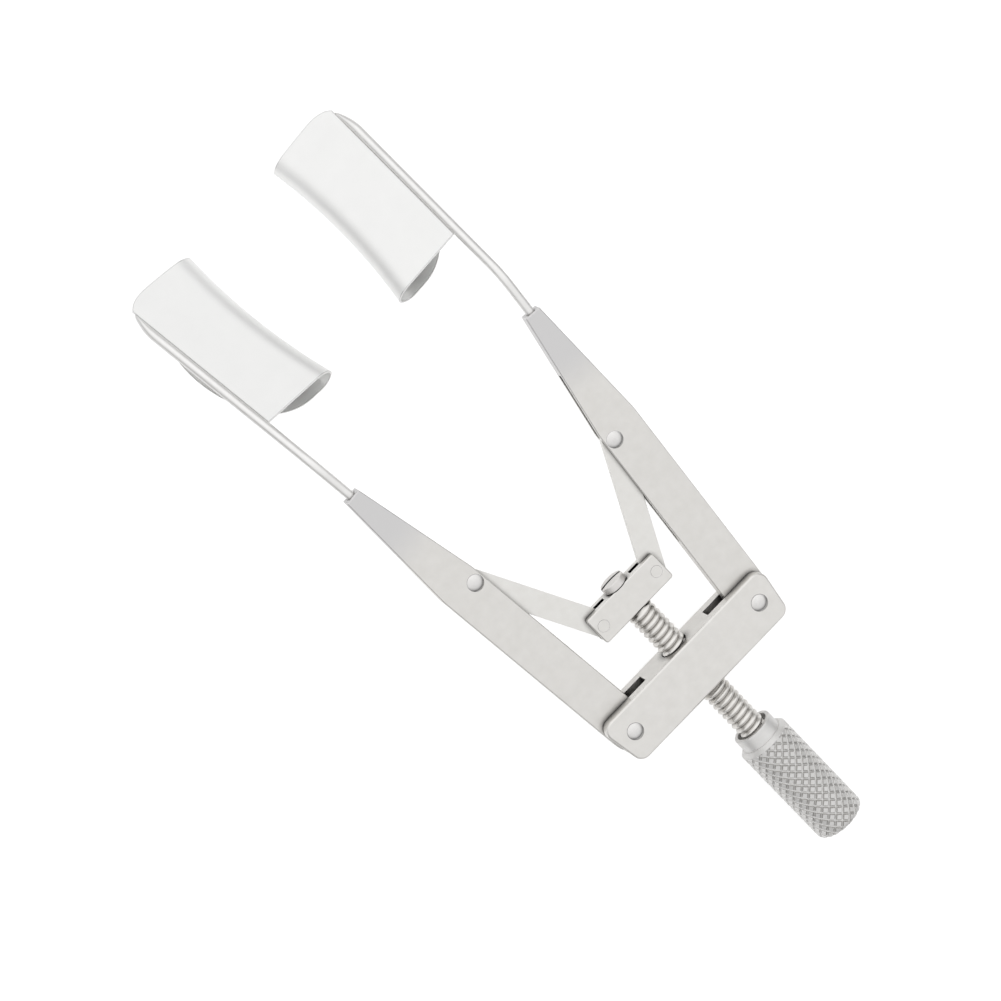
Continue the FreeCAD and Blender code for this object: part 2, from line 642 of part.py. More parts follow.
def make_blade(doc, sheet):
    """Form the right blade.

    Its own Y axis is the wire's axis, from the blade's rear end forward. The upper leaf lies in
    the XY plane and reaches to -X, where it turns over in a round fold and comes back as the
    shorter lower leaf. The section is spun about an upright axis on the eye's side, which gives
    the fold its hollow line, and is then cut to the outline of each leaf.
    """
    body = add_body(doc, "blade_right")
    rear = "0"
    front = "(sizes.blade_length + sizes.blade_lead)"
    middle_y = (sheet.blade_length + sheet.blade_lead) / 2.0
    half_length = "((sizes.blade_length + sizes.blade_lead) / 2)"
    centre = "(-sizes.blade_width + sizes.fold_r)"
    top = "(sizes.sheet / 2)"
    low = "(%s - 2 * sizes.fold_r)" % top
    swing = "asin((sizes.blade_width + sizes.blade_overlap - sizes.fold_r) / sizes.lower_leaf_r)"
    inner = "(sizes.lower_leaf_r + sizes.sheet)"
    section = add_sketch(body, "blade_section", "XZ_Plane", -middle_y)
    add_outline(
        section,
        [
            ("sizes.blade_overlap", top, None),
            (centre, top, ("sizes.fold_r", "left")),
            ("-sizes.blade_width", top + " - sizes.fold_r", ("sizes.fold_r", "left")),
            (centre, low, ("sizes.lower_leaf_r", "right")),
            (
                "%s + sizes.lower_leaf_r * sin(%s)" % (centre, swing),
                "%s - sizes.lower_leaf_r * (1 - cos(%s))" % (low, swing),
                None,
            ),
            (
                "%s + %s * sin(%s)" % (centre, inner, swing),
                "%s + sizes.sheet - %s * (1 - cos(%s))" % (low, inner, swing),
                (inner, "left"),
            ),
            (centre, low + " + sizes.sheet", ("sizes.fold_r - sizes.sheet", "right")),
            (
                "-sizes.blade_width + sizes.sheet",
                top + " - sizes.fold_r",
                ("sizes.fold_r - sizes.sheet", "right"),
            ),
            (centre, top + " - sizes.sheet", None),
            ("sizes.blade_overlap", top + " - sizes.sheet", None),
        ],
    )
    axis = add_sketch(body, "saddle_axis", "XZ_Plane", -middle_y)
    axis_x = "-sizes.blade_width - sizes.saddle_r"
    far = -sheet.blade_width - sheet.saddle_r
    reach = sheet.fold_r
    line = axis.addGeometry(Part.LineSegment(Vector(far, -reach, 0), Vector(far, reach, 0)), False)
    lock(axis, line, 1, axis_x, "-sizes.fold_r")
    lock(axis, line, 2, axis_x, "sizes.fold_r")
    saddle = body.newObject("PartDesign::Revolution", "blade_saddle")
    saddle.Profile = section
    saddle.ReferenceAxis = (axis, ["Edge1"])
    saddle.Midplane = True
    saddle.setExpression(
        "Angle", "2 * asin((%s + 2 * sizes.blade_nose) / sizes.saddle_r)" % half_length
    )
    doc.recompute()
    # The upper leaf and the upper half of the fold, from the level of the fold's middle upward.
    # Its front edge rises from the wire to the nose and then falls back to the fold.
    split = sheet.sheet / 2.0 - sheet.fold_r
    wide = "%.1f" % BIG
    beyond = "(-sizes.blade_width - sizes.blade_overlap)"
    tip = "(sizes.blade_length + sizes.blade_nose)"
    fall = "(sizes.blade_nose - sizes.blade_lead)"
    rise_r = cap_radius("sizes.blade_nose_at", "sizes.blade_nose")
    fall_r = cap_radius("-%s - sizes.blade_nose_at" % beyond, fall)
    upper = add_sketch(body, "upper_outline", "XY_Plane", split)
    add_rectangle(upper, "-" + wide, wide, "-" + wide, wide)
    add_outline(
        upper,
        [
            (beyond, rear, None),
            ("0", rear, None),
            ("0", "sizes.blade_length", (rise_r, "left")),
            ("-sizes.blade_nose_at", tip, (fall_r, "left")),
            (beyond, front, None),
        ],
    )
    add_pocket(doc, body, upper, "upper_trim", "sizes.fold_r * 3", False, True)
    # The lower leaf, from the same level downward: two round corners and a bowed long edge.
    turn = "acos((%s - sizes.lower_corner_r) / (sizes.lower_side_r - sizes.lower_corner_r))" % (
        half_length
    )
    flat = "(-sizes.blade_width + sizes.lower_leaf_flat)"
    side = "(%s + sizes.lower_corner_r * sin(%s))" % (flat, turn)
    inset = "sizes.lower_corner_r * (1 - cos(%s))" % turn
    lower = add_sketch(body, "lower_outline", "XY_Plane", split)
    add_rectangle(lower, "-" + wide, wide, "-" + wide, wide)
    add_outline(
        lower,
        [
            (beyond, rear, None),
            (flat, rear, ("sizes.lower_corner_r", "left")),
            (side, "%s + %s" % (rear, inset), ("sizes.lower_side_r", "left")),
            (side, "%s - %s" % (front, inset), ("sizes.lower_corner_r", "left")),
            (flat, front, None),
            (beyond, front, None),
        ],
    )
    add_pocket(doc, body, lower, "lower_trim", "sizes.fold_r * 6", False, False)
    groove = add_sketch(body, "wire_seat_section", "XZ_Plane")
    add_circle(groove, "0", "0", "sizes.wire_r + sizes.seat_gap")
    add_pocket(doc, body, groove, "wire_seat", "4 * sizes.blade_length")
    return body


# Where the link puts the crosshead, measured from the base pin line.
ARM_PIN_X = (
    "(sizes.arm_pivot_x + sizes.arm_pin_y * sin(sizes.arm_angle)"
    " - sizes.arm_pin_inset * cos(sizes.arm_angle))"
)
ARM_PIN_Y = (
    "(sizes.arm_pin_y * cos(sizes.arm_angle) + sizes.arm_pin_inset * sin(sizes.arm_angle))"
)
CROSS_Y = "(%s - sqrt(sizes.link_length ^ 2 - (%s - sizes.cross_pin_x) ^ 2))" % (
    ARM_PIN_Y,
    ARM_PIN_X,
)


def turned(axis, angle):
    """Return a placement that only turns, by an angle in degrees."""
    return Placement(Vector(0, 0, 0), Rotation(axis, angle))


def moved(x, y, z):
    """Return a placement that only moves."""
    return Placement(Vector(x, y, z), Rotation())


def local_placements(sheet):
    """Return where each drawn piece lies in the mechanism's frame."""
    up = Vector(0, 0, 1)
    along = Vector(0, 1, 0)
    side = Vector(1, 0, 0)
    arm = moved(sheet.arm_pivot_x, 0, 0) * turned(up, -sheet.arm_angle)
    arm_pin = arm * moved(-sheet.arm_pin_inset, sheet.arm_pin_y, 0)
    cross_y = float(sheet.evalExpression(CROSS_Y))
    to_pin = arm_pin.Base - Vector(sheet.cross_pin_x, cross_y, 0)
    lean = math.degrees(math.atan2(to_pin.x, to_pin.y))
    wire = arm * moved(0, sheet.arm_length, 0) * turned(along, sheet.wire_roll)
    drop = math.radians(sheet.wire_drop)
    reach = sheet.wire_straight + sheet.wire_bend_r * math.sin(drop)
    depth = sheet.wire_bend_r * (1 - math.cos(drop))
    blade = (
        wire
        * moved(0, reach, -depth)
        * turned(side, -sheet.wire_drop)
        * moved(0, sheet.wire_run, 0)
        * turned(along, -sheet.wire_roll - sheet.blade_slope)
    )
    return {
        "base_bar": Placement(),
        "base_pin_right": moved(sheet.arm_pivot_x, 0, 0),
        "arm_right": arm,
        "arm_pin_right": arm_pin,
        "wire_right": wire,
        "blade_right": blade,
        "link_right": moved(sheet.cross_pin_x, cross_y, 0) * turned(up, -lean),
        "crosshead": moved(0, cross_y, 0),
        "cross_pin_right": moved(sheet.cross_pin_x, cross_y, 0),
        "drive_screw": Placement(),
        "retaining_screw": Placement(),
        "knob": Placement(),
    }


def add_mirror(doc, source, name):
    """Mirror a right-hand piece to the left across the instrument's middle plane."""
    mirror = doc.addObject("Part::Mirroring", name)
    mirror.Label = name
    mirror.Source = source
    mirror.Base = Vector(0, 0, 0)
    mirror.Normal = Vector(1, 0, 0)
    return mirror


def check(doc, pieces):
    """Stop if any object failed or any piece has no sound shape."""
    for item in doc.Objects:
        for word in ("Invalid", "Error"):
            if word in item.State:
                raise RuntimeError("%s is %s" % (item.Label, word))
    for name, piece in pieces.items():
        shape = piece.Shape
        if shape.isNull() or not shape.isValid() or len(shape.Solids) != 1:
            raise RuntimeError("%s has no sound single solid" % name)


def main():
    """Build the instrument, lay it on its table and write one file for each piece."""
    doc = FreeCAD.newDocument("eye_speculum")
    sheet = make_sheet(doc)
    rivet = "sizes.base_thick + 2 * sizes.pin_dome"
    drawn = {
        "base_bar": make_base_bar(doc, sheet),
        "base_pin_right": make_round_pin(
            doc, "base_pin_right", "sizes.pivot_pin_r", rivet, "sizes.pin_dome"
        ),
        "arm_right": make_arm(doc, sheet),
        "arm_pin_right": make_arm_pin(doc, sheet),
        "wire_right": make_wire(doc, sheet),
        "blade_right": make_blade(doc, sheet),
        "link_right": make_link(doc),
        "crosshead": make_crosshead(doc, sheet),
        "cross_pin_right": make_round_pin(
            doc, "cross_pin_right", "sizes.cross_pin_r", "sizes.cross_thick", None
        ),
        "drive_screw": make_screw(doc, sheet),
        "retaining_screw": make_retaining_screw(doc, sheet),
        "knob": make_knob(doc, sheet),
    }
    pieces = dict(drawn)
    for name in list(drawn):
        if name.endswith("_right"):
            left = name.replace("_right", "_left")
            pieces[left] = add_mirror(doc, drawn[name], left)
    local = local_placements(sheet)
    lie = turned(Vector(1, 0, 0), sheet.lie_angle)
    for name, body in drawn.items():
        body.Placement = lie * local[name]
    doc.recompute()
    check(doc, pieces)
    box = FreeCAD.BoundBox()
    for piece in pieces.values():
        box.add(piece.Shape.optimalBoundingBox(False, False))
    rest = moved(0, -(box.YMin + box.YMax) / 2.0, -box.ZMin) * lie
    for name, body in drawn.items():
        body.Placement = rest * local[name]
    doc.recompute()
    check(doc, pieces)
    FreeCAD.Console.PrintMessage("rest placement %s\n" % rest)
    os.makedirs("parts", exist_ok=True)
    for name, piece in sorted(pieces.items()):
        piece.Shape.exportStep("parts/%s.step" % name)


main()
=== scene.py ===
import json
import logging
import math
from dataclasses import dataclass
from enum import Enum
from typing import Dict, List, Optional, Sequence, Tuple, Union

import bmesh
import bpy
from mathutils import Matrix, Vector


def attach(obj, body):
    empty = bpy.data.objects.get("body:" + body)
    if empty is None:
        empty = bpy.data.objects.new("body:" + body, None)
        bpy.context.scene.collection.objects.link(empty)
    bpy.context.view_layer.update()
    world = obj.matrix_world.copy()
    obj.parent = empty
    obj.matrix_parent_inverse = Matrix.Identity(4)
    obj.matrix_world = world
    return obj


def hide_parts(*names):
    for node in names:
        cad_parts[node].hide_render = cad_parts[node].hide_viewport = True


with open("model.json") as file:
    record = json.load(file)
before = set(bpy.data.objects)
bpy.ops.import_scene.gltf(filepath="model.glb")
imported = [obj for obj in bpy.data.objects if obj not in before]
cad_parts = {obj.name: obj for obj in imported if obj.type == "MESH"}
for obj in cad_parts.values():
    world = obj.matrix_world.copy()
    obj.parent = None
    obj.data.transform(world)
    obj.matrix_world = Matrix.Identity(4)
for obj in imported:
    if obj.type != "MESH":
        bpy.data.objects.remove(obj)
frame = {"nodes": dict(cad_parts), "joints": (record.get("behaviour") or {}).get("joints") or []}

# The dressed model of an eye speculum with solid blades. Sizes are in millimetres in the
# mechanism's frame (screw axis Y toward the blades, base pins on X, Z up) unless a name says
# otherwise; the frame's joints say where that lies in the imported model.

LOG = logging.getLogger("speculum")
MM = 0.001
FULL_TURN = 2.0 * math.pi
WHITE = (1.0, 1.0, 1.0, 1.0)
# Vertices closer than these many millimetres become one, or count as on a cut's plane. The
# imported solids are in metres, and their seams are welded more coarsely.
WELD = 1e-4
FINE_WELD = 1e-5
ON_PLANE = 1e-6
SOLID_WELD_M = 0.002 * MM
# The noise of every finish, and the part of the grain's range that the roughness follows.
PATCH_DETAIL = 4.0
GRAIN_DETAIL = 3.0
GRAIN_ROUGHNESS = 0.6
GRAIN_RANGE = (0.3, 0.7)
# The cosine between the metal's normal and the eased one where the edge wear and painted edge light begin
# and are full.
EDGE_TONE_COSINES = (0.995, 0.88)
EDGE_TONE_SAMPLES = 4
PAINTED_SHADE_SAMPLES = 8
Station = Tuple[float, float]
Point = Tuple[float, float, float]


class Side(Enum):
    """The two mirrored halves of the instrument."""

    RIGHT = 1
    LEFT = -1

    def node(self, stem: str) -> str:
        """Return the name of this side's node."""
        return "%s_%s" % (stem, self.name.lower())


class Lay(Enum):
    """The direction in which a finish was worked."""

    ALL_ROUND = (1.0, 1.0, 1.0)
    LENGTHWISE = (1.0, 0.06, 1.0)
    ROUND_THE_AXIS = (0.25, 1.0, 0.25)


def linear_colour(code: str) -> Tuple[float, float, float, float]:
    """Turn an sRGB hex value into a linear colour.

    Args:
        code: Six hex digits after a hash sign.

    Returns:
        Red, green, blue and an alpha of one.
    """
    parts = []
    for place in (1, 3, 5):
        value = int(code[place:place + 2], 16) / 255.0
        parts.append(value / 12.92 if value <= 0.04045 else ((value + 0.055) / 1.055) ** 2.4)
    return parts[0], parts[1], parts[2], 1.0


def add_node(
    tree: bpy.types.NodeTree,
    kind: str,
    settings: Optional[Dict[str, object]] = None,
    inputs: Optional[Dict[str, object]] = None,
) -> bpy.types.Node:
    """Add a node with its settings, plain input values and links.

    Args:
        tree: The node tree that gets the node.
        kind: The node's type name.
        settings: Attributes of the node.
        inputs: Values by socket name; an output socket there is linked.

    Returns:
        The new node.
    """
    node = tree.nodes.new(kind)
    for name, value in (settings or {}).items():
        setattr(node, name, value)
    for name, value in (inputs or {}).items():
        socket = node.inputs[int(name)] if name.isdigit() else node.inputs[name]
        if isinstance(value, bpy.types.NodeSocket):
            tree.links.new(value, socket)
        else:
            socket.default_value = value
    return node


def empty_tree(owner: Union[bpy.types.Material, bpy.types.World]) -> bpy.types.NodeTree:
    """Return a material's or a world's node tree with no nodes in it.

    Args:
        owner: The material or world.

    Returns:
        Its node tree.
    """
    owner.use_nodes = True
    owner.node_tree.nodes.clear()
    return owner.node_tree


@dataclass(frozen=True)
class SteelFinish:
    """Martensitic stainless steel with one way of working its surface.

    The base colour drifts a little between two close greys in soft patches, and a fine grain
    gives the tooth that grinding, blasting or drawing leaves. Real grit leaves marks about
    0.02 mm wide. They are drawn two to five times as coarse, since finer ones would not show.
    """

    name: str
    light: str
    dark: str
    roughness: float
    roughness_spread: float
    patch_mm: float
    grain_mm: float
    grain_height_mm: float
    lay: Lay = Lay.ALL_ROUND
    # Painted shade: this colour is mixed in where ambient occlusion finds other metal within reach, in
    # slots, creases and contacts.
    painted_hollow_shade: str = "#6A6762"
    painted_shade_reach_mm: float = 0.3
    painted_shade_shut: float = 0.1
    painted_shade_open: float = 0.85
    # Eased edges take this colour: partly real wear, partly painted light, a painted highlight on most
    # finishes and a painted shade line on the blades. The same edges are polished smoother.
    edge_wear_and_light: str = "#FAF9F8"
    edge_wear_and_light_mm: float = 0.07
    edge_wear_and_light_share: float = 0.6
    worn_polish: float = 0.3
    # Painted shade toward the arms' tips.
    tip_shade_colour: str = "#D4D3D3"
    tip_shade_mm: float = 0.0

    def painted_tip_shade(
        self, tree: bpy.types.NodeTree, place: bpy.types.NodeSocket, colour: bpy.types.NodeSocket
    ) -> bpy.types.NodeSocket:
        """Return the colour with painted shade that darkens the arms toward their tips.

        Args:
            tree: The material's node tree.
            place: The place on the metal.
            colour: The colour before the painted shade.

        Returns:
            The shaded colour.
        """
        distances = []
        for side in Side:
            arm = MECHANISM.matrix @ mirrored(side) @ LAYOUT.arm_matrix()
            tip = arm @ Vector((0.0, LAYOUT.arm_length, 0.0))
            away = add_node(
                tree, "ShaderNodeVectorMath", {"operation": "DISTANCE"}, {"0": place, "1": tip}
            )
            distances.append(away.outputs["Value"])
        nearest = add_node(
            tree, "ShaderNodeMath", {"operation": "MINIMUM"}, {"0": distances[0], "1": distances[1]}
        )
        share = add_node(
            tree,
            "ShaderNodeMapRange",
            {"interpolation_type": "SMOOTHSTEP"},
            {
                "Value": nearest.outputs[0],
                "From Min": self.tip_shade_mm * MM / 2.0,
                "From Max": self.tip_shade_mm * MM,
                "To Min": 1.0,
                "To Max": 0.0,
            },
        )
        shaded = add_node(
            tree,
            "ShaderNodeMix",
            {"data_type": "RGBA"},
            {"0": share.outputs["Result"], "6": colour, "7": linear_colour(self.tip_shade_colour)},
        )
        return shaded.outputs[2]

    def material(self) -> bpy.types.Material:
        """Make this finish as a material, the first time that it is asked for.

        Returns:
            The material.
        """
        made = bpy.data.materials.get(self.name)
        if made is not None:
            return made
        made = bpy.data.materials.new(self.name)
        tree = empty_tree(made)
        place = add_node(tree, "ShaderNodeTexCoord").outputs["Object"]
        patches = add_node(
            tree,
            "ShaderNodeTexNoise",
            inputs={"Vector": place, "Scale": 1.0 / (self.patch_mm * MM), "Detail": PATCH_DETAIL},
        )
        stretched = add_node(
            tree, "ShaderNodeMapping", inputs={"Vector": place, "Scale": self.lay.value}
        )
        grain = add_node(
            tree,
            "ShaderNodeTexNoise",
            inputs={
                "Vector": stretched.outputs["Vector"],
                "Scale": 1.0 / (self.grain_mm * MM),
                "Detail": GRAIN_DETAIL,
                "Roughness": GRAIN_ROUGHNESS,
            },
        )
        rubbed = add_node(
            tree,
            "ShaderNodeMix",
            {"data_type": "RGBA"},
            {
                "0": patches.outputs["Fac"],
                "6": linear_colour(self.dark),
                "7": linear_colour(self.light),
            },
        )
        base = rubbed.outputs[2]
        # Painted shade that darkens the arms toward their tips.
        if self.tip_shade_mm:
            base = self.painted_tip_shade(tree, place, base)
        # The eased edges' mask: wear that polishes them, and painted edge light in their colour.
        eased = add_node(tree, "ShaderNodeBevel", {"samples": EDGE_TONE_SAMPLES}, {"Radius": self.edge_wear_and_light_mm * MM})
        turning = add_node(
            tree,
            "ShaderNodeVectorMath",
            {"operation": "DOT_PRODUCT"},
            {
                "0": eased.outputs["Normal"],
                "1": add_node(tree, "ShaderNodeNewGeometry").outputs["Normal"],
            },
        )
        wear_and_light_mask = add_node(
            tree,
            "ShaderNodeMapRange",
            inputs={
                "Value": turning.outputs["Value"],
                "From Min": EDGE_TONE_COSINES[0],
                "From Max": EDGE_TONE_COSINES[1],
                "To Min": 0.0,
                "To Max": self.edge_wear_and_light_share,
            },
        ).outputs["Result"]
        edge_wear_and_light = add_node(
            tree,
            "ShaderNodeMix",
            {"data_type": "RGBA"},
            {"0": wear_and_light_mask, "6": base, "7": linear_colour(self.edge_wear_and_light)},
        )
        # Painted shade in hollows and where parts meet, from ambient occlusion.
        open_to_light = add_node(
            tree,
            "ShaderNodeAmbientOcclusion",
            {"samples": PAINTED_SHADE_SAMPLES},
            {"Distance": self.painted_shade_reach_mm * MM},
        )
        lit = add_node(
            tree,
            "ShaderNodeMapRange",
            inputs={
                "Value": open_to_light.outputs["AO"],
                "From Min": self.painted_shade_shut,
                "From Max": self.painted_shade_open,
            },
        )
        colour = add_node(
            tree,
            "ShaderNodeMix",
            {"data_type": "RGBA"},
            {"0": lit.outputs["Result"], "6": linear_colour(self.painted_hollow_shade), "7": edge_wear_and_light.outputs[2]},
        ).outputs[2]
        grained = add_node(
            tree,
            "ShaderNodeMapRange",
            inputs={
                "Value": grain.outputs["Fac"],
                "From Min": GRAIN_RANGE[0],
                "From Max": GRAIN_RANGE[1],
                "To Min": self.roughness - self.roughness_spread,
                "To Max": self.roughness + self.roughness_spread,
            },
        )
        rough = add_node(
            tree,
            "ShaderNodeMath",
            {"operation": "MULTIPLY_ADD"},
            {"0": wear_and_light_mask, "1": -self.worn_polish, "2": grained.outputs["Result"]},
        )
        bump = add_node(
            tree,
            "ShaderNodeBump",
            inputs={
                "Height": grain.outputs["Fac"],
                "Distance": self.grain_height_mm * MM,
                "Strength": 1.0,
            },
        )
        shader = add_node(
            tree,
            "ShaderNodeBsdfPrincipled",
            inputs={
                "Base Color": colour,
                "Metallic": 1.0,
                "Roughness": rough.outputs[0],
                "Normal": bump.outputs["Normal"],
            },
        )
        add_node(tree, "ShaderNodeOutputMaterial", inputs={"Surface": shader.outputs["BSDF"]})
        return made


# Flat faces rubbed on fine paper: an even pale sheen with faint cloudy patches. Painted shade
# darkens the slots and the corners where other parts meet them.
GROUND_STEEL = SteelFinish(
    "stainless_steel_satin_ground", "#EAE8E5", "#DCDAD6", 0.36, 0.05, 0.9, 0.09, 0.0016,
    painted_hollow_shade="#161617", painted_shade_reach_mm=1.6, painted_shade_shut=0.48,
)
# The arms have the same finish, with painted shade where they enter the bar
# and painted shade that darkens them toward their tips.
GROUND_ARM_STEEL = SteelFinish(
    "stainless_steel_satin_arm", "#E7E5E2", "#DAD8D4", 0.36, 0.05, 0.9, 0.09, 0.0016,
    painted_hollow_shade="#2E2D2C", painted_shade_reach_mm=0.85, tip_shade_mm=9.0,
)
# The narrower links come off the same paper a shade lighter, with painted shade where they meet other
# parts.
GROUND_LINK_STEEL = SteelFinish(
    "stainless_steel_satin_link", "#ECEBE8", "#E1DFDB", 0.36, 0.05, 0.8, 0.09, 0.0016,
    painted_hollow_shade="#4A4948", painted_shade_reach_mm=0.7,
)
# Glass-bead blasting gives the blades a white, nearly directionless sheen. Their edges are
# burnished afterwards, and a thin line of painted shade runs along them; faint painted shade lies in their
# hollows.
BLASTED_STEEL = SteelFinish(
    "stainless_steel_bead_blasted", "#F9F9F8", "#F4F4F3", 0.46, 0.04, 2.2, 0.07, 0.0008,
    painted_hollow_shade="#EAE9E8", painted_shade_reach_mm=0.4, edge_wear_and_light="#B4B3B2", edge_wear_and_light_mm=0.2, edge_wear_and_light_share=0.9,
)
# Drawn wire keeps faint streaks along its length and reflects more sharply.
# Faint painted shade greys the wire where it meets other parts.
DRAWN_STEEL = SteelFinish(
    "stainless_steel_drawn_wire", "#F4F3F2", "#E9E8E6", 0.40, 0.07, 1.0, 0.06, 0.0008,
    Lay.LENGTHWISE, painted_hollow_shade="#A5A19C", painted_shade_reach_mm=0.2,
)
# Rivet heads are hammered round and buffed bright, with painted shade round their rims where they meet the
# plates.
BUFFED_STEEL = SteelFinish(
    "stainless_steel_buffed_rivet", "#E6E5E4", "#D9D7D5", 0.18, 0.04, 0.6, 0.08, 0.0010,
    painted_hollow_shade="#3E3C3A", painted_shade_reach_mm=0.32,
)
# The retaining screw's head is turned and tumbled soft, with painted shade in its slot.
TUMBLED_STEEL = SteelFinish(
    "stainless_steel_tumbled_head", "#EAE8E6", "#DAD7D4", 0.46, 0.05, 0.5, 0.08, 0.0012,
    painted_hollow_shade="#3A3836", painted_shade_reach_mm=0.6, painted_shade_shut=0.3,
)
# The thread is cut on a lathe: bright crests, and painted shade in the hollows.
THREAD_STEEL = SteelFinish(
    "stainless_steel_cut_thread", "#EDEBE8", "#DBD8D4", 0.30, 0.06, 0.5, 0.05, 0.0008,
    Lay.ROUND_THE_AXIS, painted_hollow_shade="#4F4B46", painted_shade_reach_mm=0.3,
)
# The knob is diamond knurled and then lightly blasted, which leaves it matt.
# Faint painted shade lies in the grooves between the squares.
KNURLED_STEEL = SteelFinish(
    "stainless_steel_diamond_knurled", "#E6E5E4", "#D6D5D3", 0.46, 0.06, 0.7, 0.06, 0.0012,
    painted_hollow_shade="#AEACA9", painted_shade_reach_mm=0.13, painted_shade_open=0.8, edge_wear_and_light_mm=0.03, edge_wear_and_light_share=0.6,
)


@dataclass(frozen=True)
class Mechanism:
    """Where the mechanism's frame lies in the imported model."""

    matrix: Matrix

    @classmethod
    def from_joints(cls, joints: Sequence[dict]) -> "Mechanism":
        """Work the frame out from the joints of the arms and the crosshead.

        Args:
            joints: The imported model's joints.

        Returns:
            The mechanism's frame; its matrix turns millimetres there into metres here.
        """
        by_name = {joint["name"]: joint for joint in joints}
        right = Vector(by_name["arm_right_swing"]["pos_m"])
        left = Vector(by_name["arm_left_swing"]["pos_m"])
        along = Vector(by_name["crosshead_slide"]["axis"]).normalized()
        side = (right - left).normalized()
        up = side.cross(along).normalized()
        turn = Matrix((side, along, up)).transposed().to_4x4()
        return cls(Matrix.Translation((right + left) / 2.0) @ turn @ Matrix.Scale(MM, 4))


MECHANISM = Mechanism.from_joints(frame["joints"])


@dataclass(frozen=True)
class Layout:
    """Sizes that several pieces share; they repeat the solids' own sizes."""

    arm_pivot_x: float = 7.8
    arm_angle: float = 5.6
    arm_length: float = 32.85
    arm_pin_y: float = 19.49
    arm_pin_inset: float = 1.07
    arm_thick: float = 1.5
    base_thick: float = 4.0
    base_rear: float = 2.55
    screw_free: float = 5.68
    screw_in_knob: float = 6.0
    cross_pin_x: float = 3.3
    cross_depth: float = 2.8
    cross_thick: float = 2.1
    link_length: float = 12.23
    shoulder_gap: float = 0.03
    wire_r: float = 0.43
    wire_straight: float = 2.8
    wire_bend_r: float = 4.4
    wire_drop: float = 37.0
    wire_roll: float = 1.7
    wire_run: float = 4.15
    blade_slope: float = 20.0

    @property
    def arm_pin_x(self) -> float:
        """Return the arm rivet's distance from the screw axis."""
        turn = math.radians(self.arm_angle)
        return self.arm_pivot_x + self.arm_pin_y * math.sin(turn) - self.arm_pin_inset * math.cos(turn)

    @property
    def arm_pin_forward(self) -> float:
        """Return the arm rivet's distance ahead of the base pins."""
        turn = math.radians(self.arm_angle)
        return self.arm_pin_y * math.cos(turn) + self.arm_pin_inset * math.sin(turn)

    @property
    def cross_y(self) -> float:
        """Return the crosshead's distance ahead of the base pins."""
        sideways = self.arm_pin_x - self.cross_pin_x
        return self.arm_pin_forward - math.sqrt(self.link_length ** 2 - sideways ** 2)

    @property
    def knob_face(self) -> float:
        """Return the place of the knob's front face on the screw axis."""
        return -self.base_rear - self.screw_free

    def arm_matrix(self) -> Matrix:
        """Return the right arm's place, with its pivot at the origin."""
        move = Matrix.Translation((self.arm_pivot_x, 0.0, 0.0))
        return move @ Matrix.Rotation(math.radians(-self.arm_angle), 4, "Z")

    def wire_matrix(self) -> Matrix:
        """Return the right wire's place, with the arm's tip at the origin."""
        move = Matrix.Translation((0.0, self.arm_length, 0.0))
        return self.arm_matrix() @ move @ Matrix.Rotation(math.radians(self.wire_roll), 4, "Y")

    def blade_matrix(self) -> Matrix:
        """Work out the right blade's place.

        Returns:
            Its place, with the wire's axis at the blade's rear end as origin.
        """
        drop = math.radians(self.wire_drop)
        reach = self.wire_straight + self.wire_bend_r * math.sin(drop)
        depth = self.wire_bend_r * (1.0 - math.cos(drop))
        return (
            self.wire_matrix()
            @ Matrix.Translation((0.0, reach, -depth))
            @ Matrix.Rotation(-drop, 4, "X")
            @ Matrix.Translation((0.0, self.wire_run, 0.0))
            @ Matrix.Rotation(math.radians(-self.wire_roll - self.blade_slope), 4, "Y")
        )


LAYOUT = Layout()


def mirrored(side: Side) -> Matrix:
    """Return the matrix that turns a right-hand piece into this side's."""
    return Matrix.Scale(side.value, 4, (1.0, 0.0, 0.0))


def add_object(name: str, data: bpy.types.ID) -> bpy.types.Object:
    """Add an object to the scene.

    Args:
        name: The object's name.
        data: Its mesh, camera or light.

    Returns:
        The object.
    """
    made = bpy.data.objects.new(name, data)
    bpy.context.scene.collection.objects.link(made)
    return made


def mesh_data(name: str, mesh: bmesh.types.BMesh) -> bpy.types.Mesh:
    """Store a mesh as scene data.

    Args:
        name: The data's name.
        mesh: The mesh, freed here.

    Returns:
        The mesh data.
    """
    data = bpy.data.meshes.new(name)
    mesh.to_mesh(data)
    mesh.free()
    return data


def cut_along(
    mesh: bmesh.types.BMesh, place: Point, way: Point, near: float = ON_PLANE, clear: bool = False
) -> None:
    """Cut a mesh along a plane.

    Args:
        mesh: The mesh, changed here.
        place: A point of the plane.
        way: The plane's direction.
        near: Vertices this close to the plane count as on it.
        clear: Whether what lies beyond the plane goes.
    """
    bmesh.ops.bisect_plane(
        mesh,
        geom=mesh.verts[:] + mesh.edges[:] + mesh.faces[:],
        dist=near,
        plane_co=place,
        plane_no=way,
        clear_outer=clear,
    )


def mark_edges(mesh: bmesh.types.BMesh, smooth_degrees: float) -> None:
    """Shade smooth over shallow edges and keep the steeper ones crisp.

    Args:
        mesh: The mesh to mark.
        smooth_degrees: The steepest edge that is shaded smooth.
    """
    limit = math.radians(smooth_degrees)
    for face in mesh.faces:
        face.smooth = True
    for edge in mesh.edges:
        edge.smooth = edge.calc_face_angle(0.0) < limit


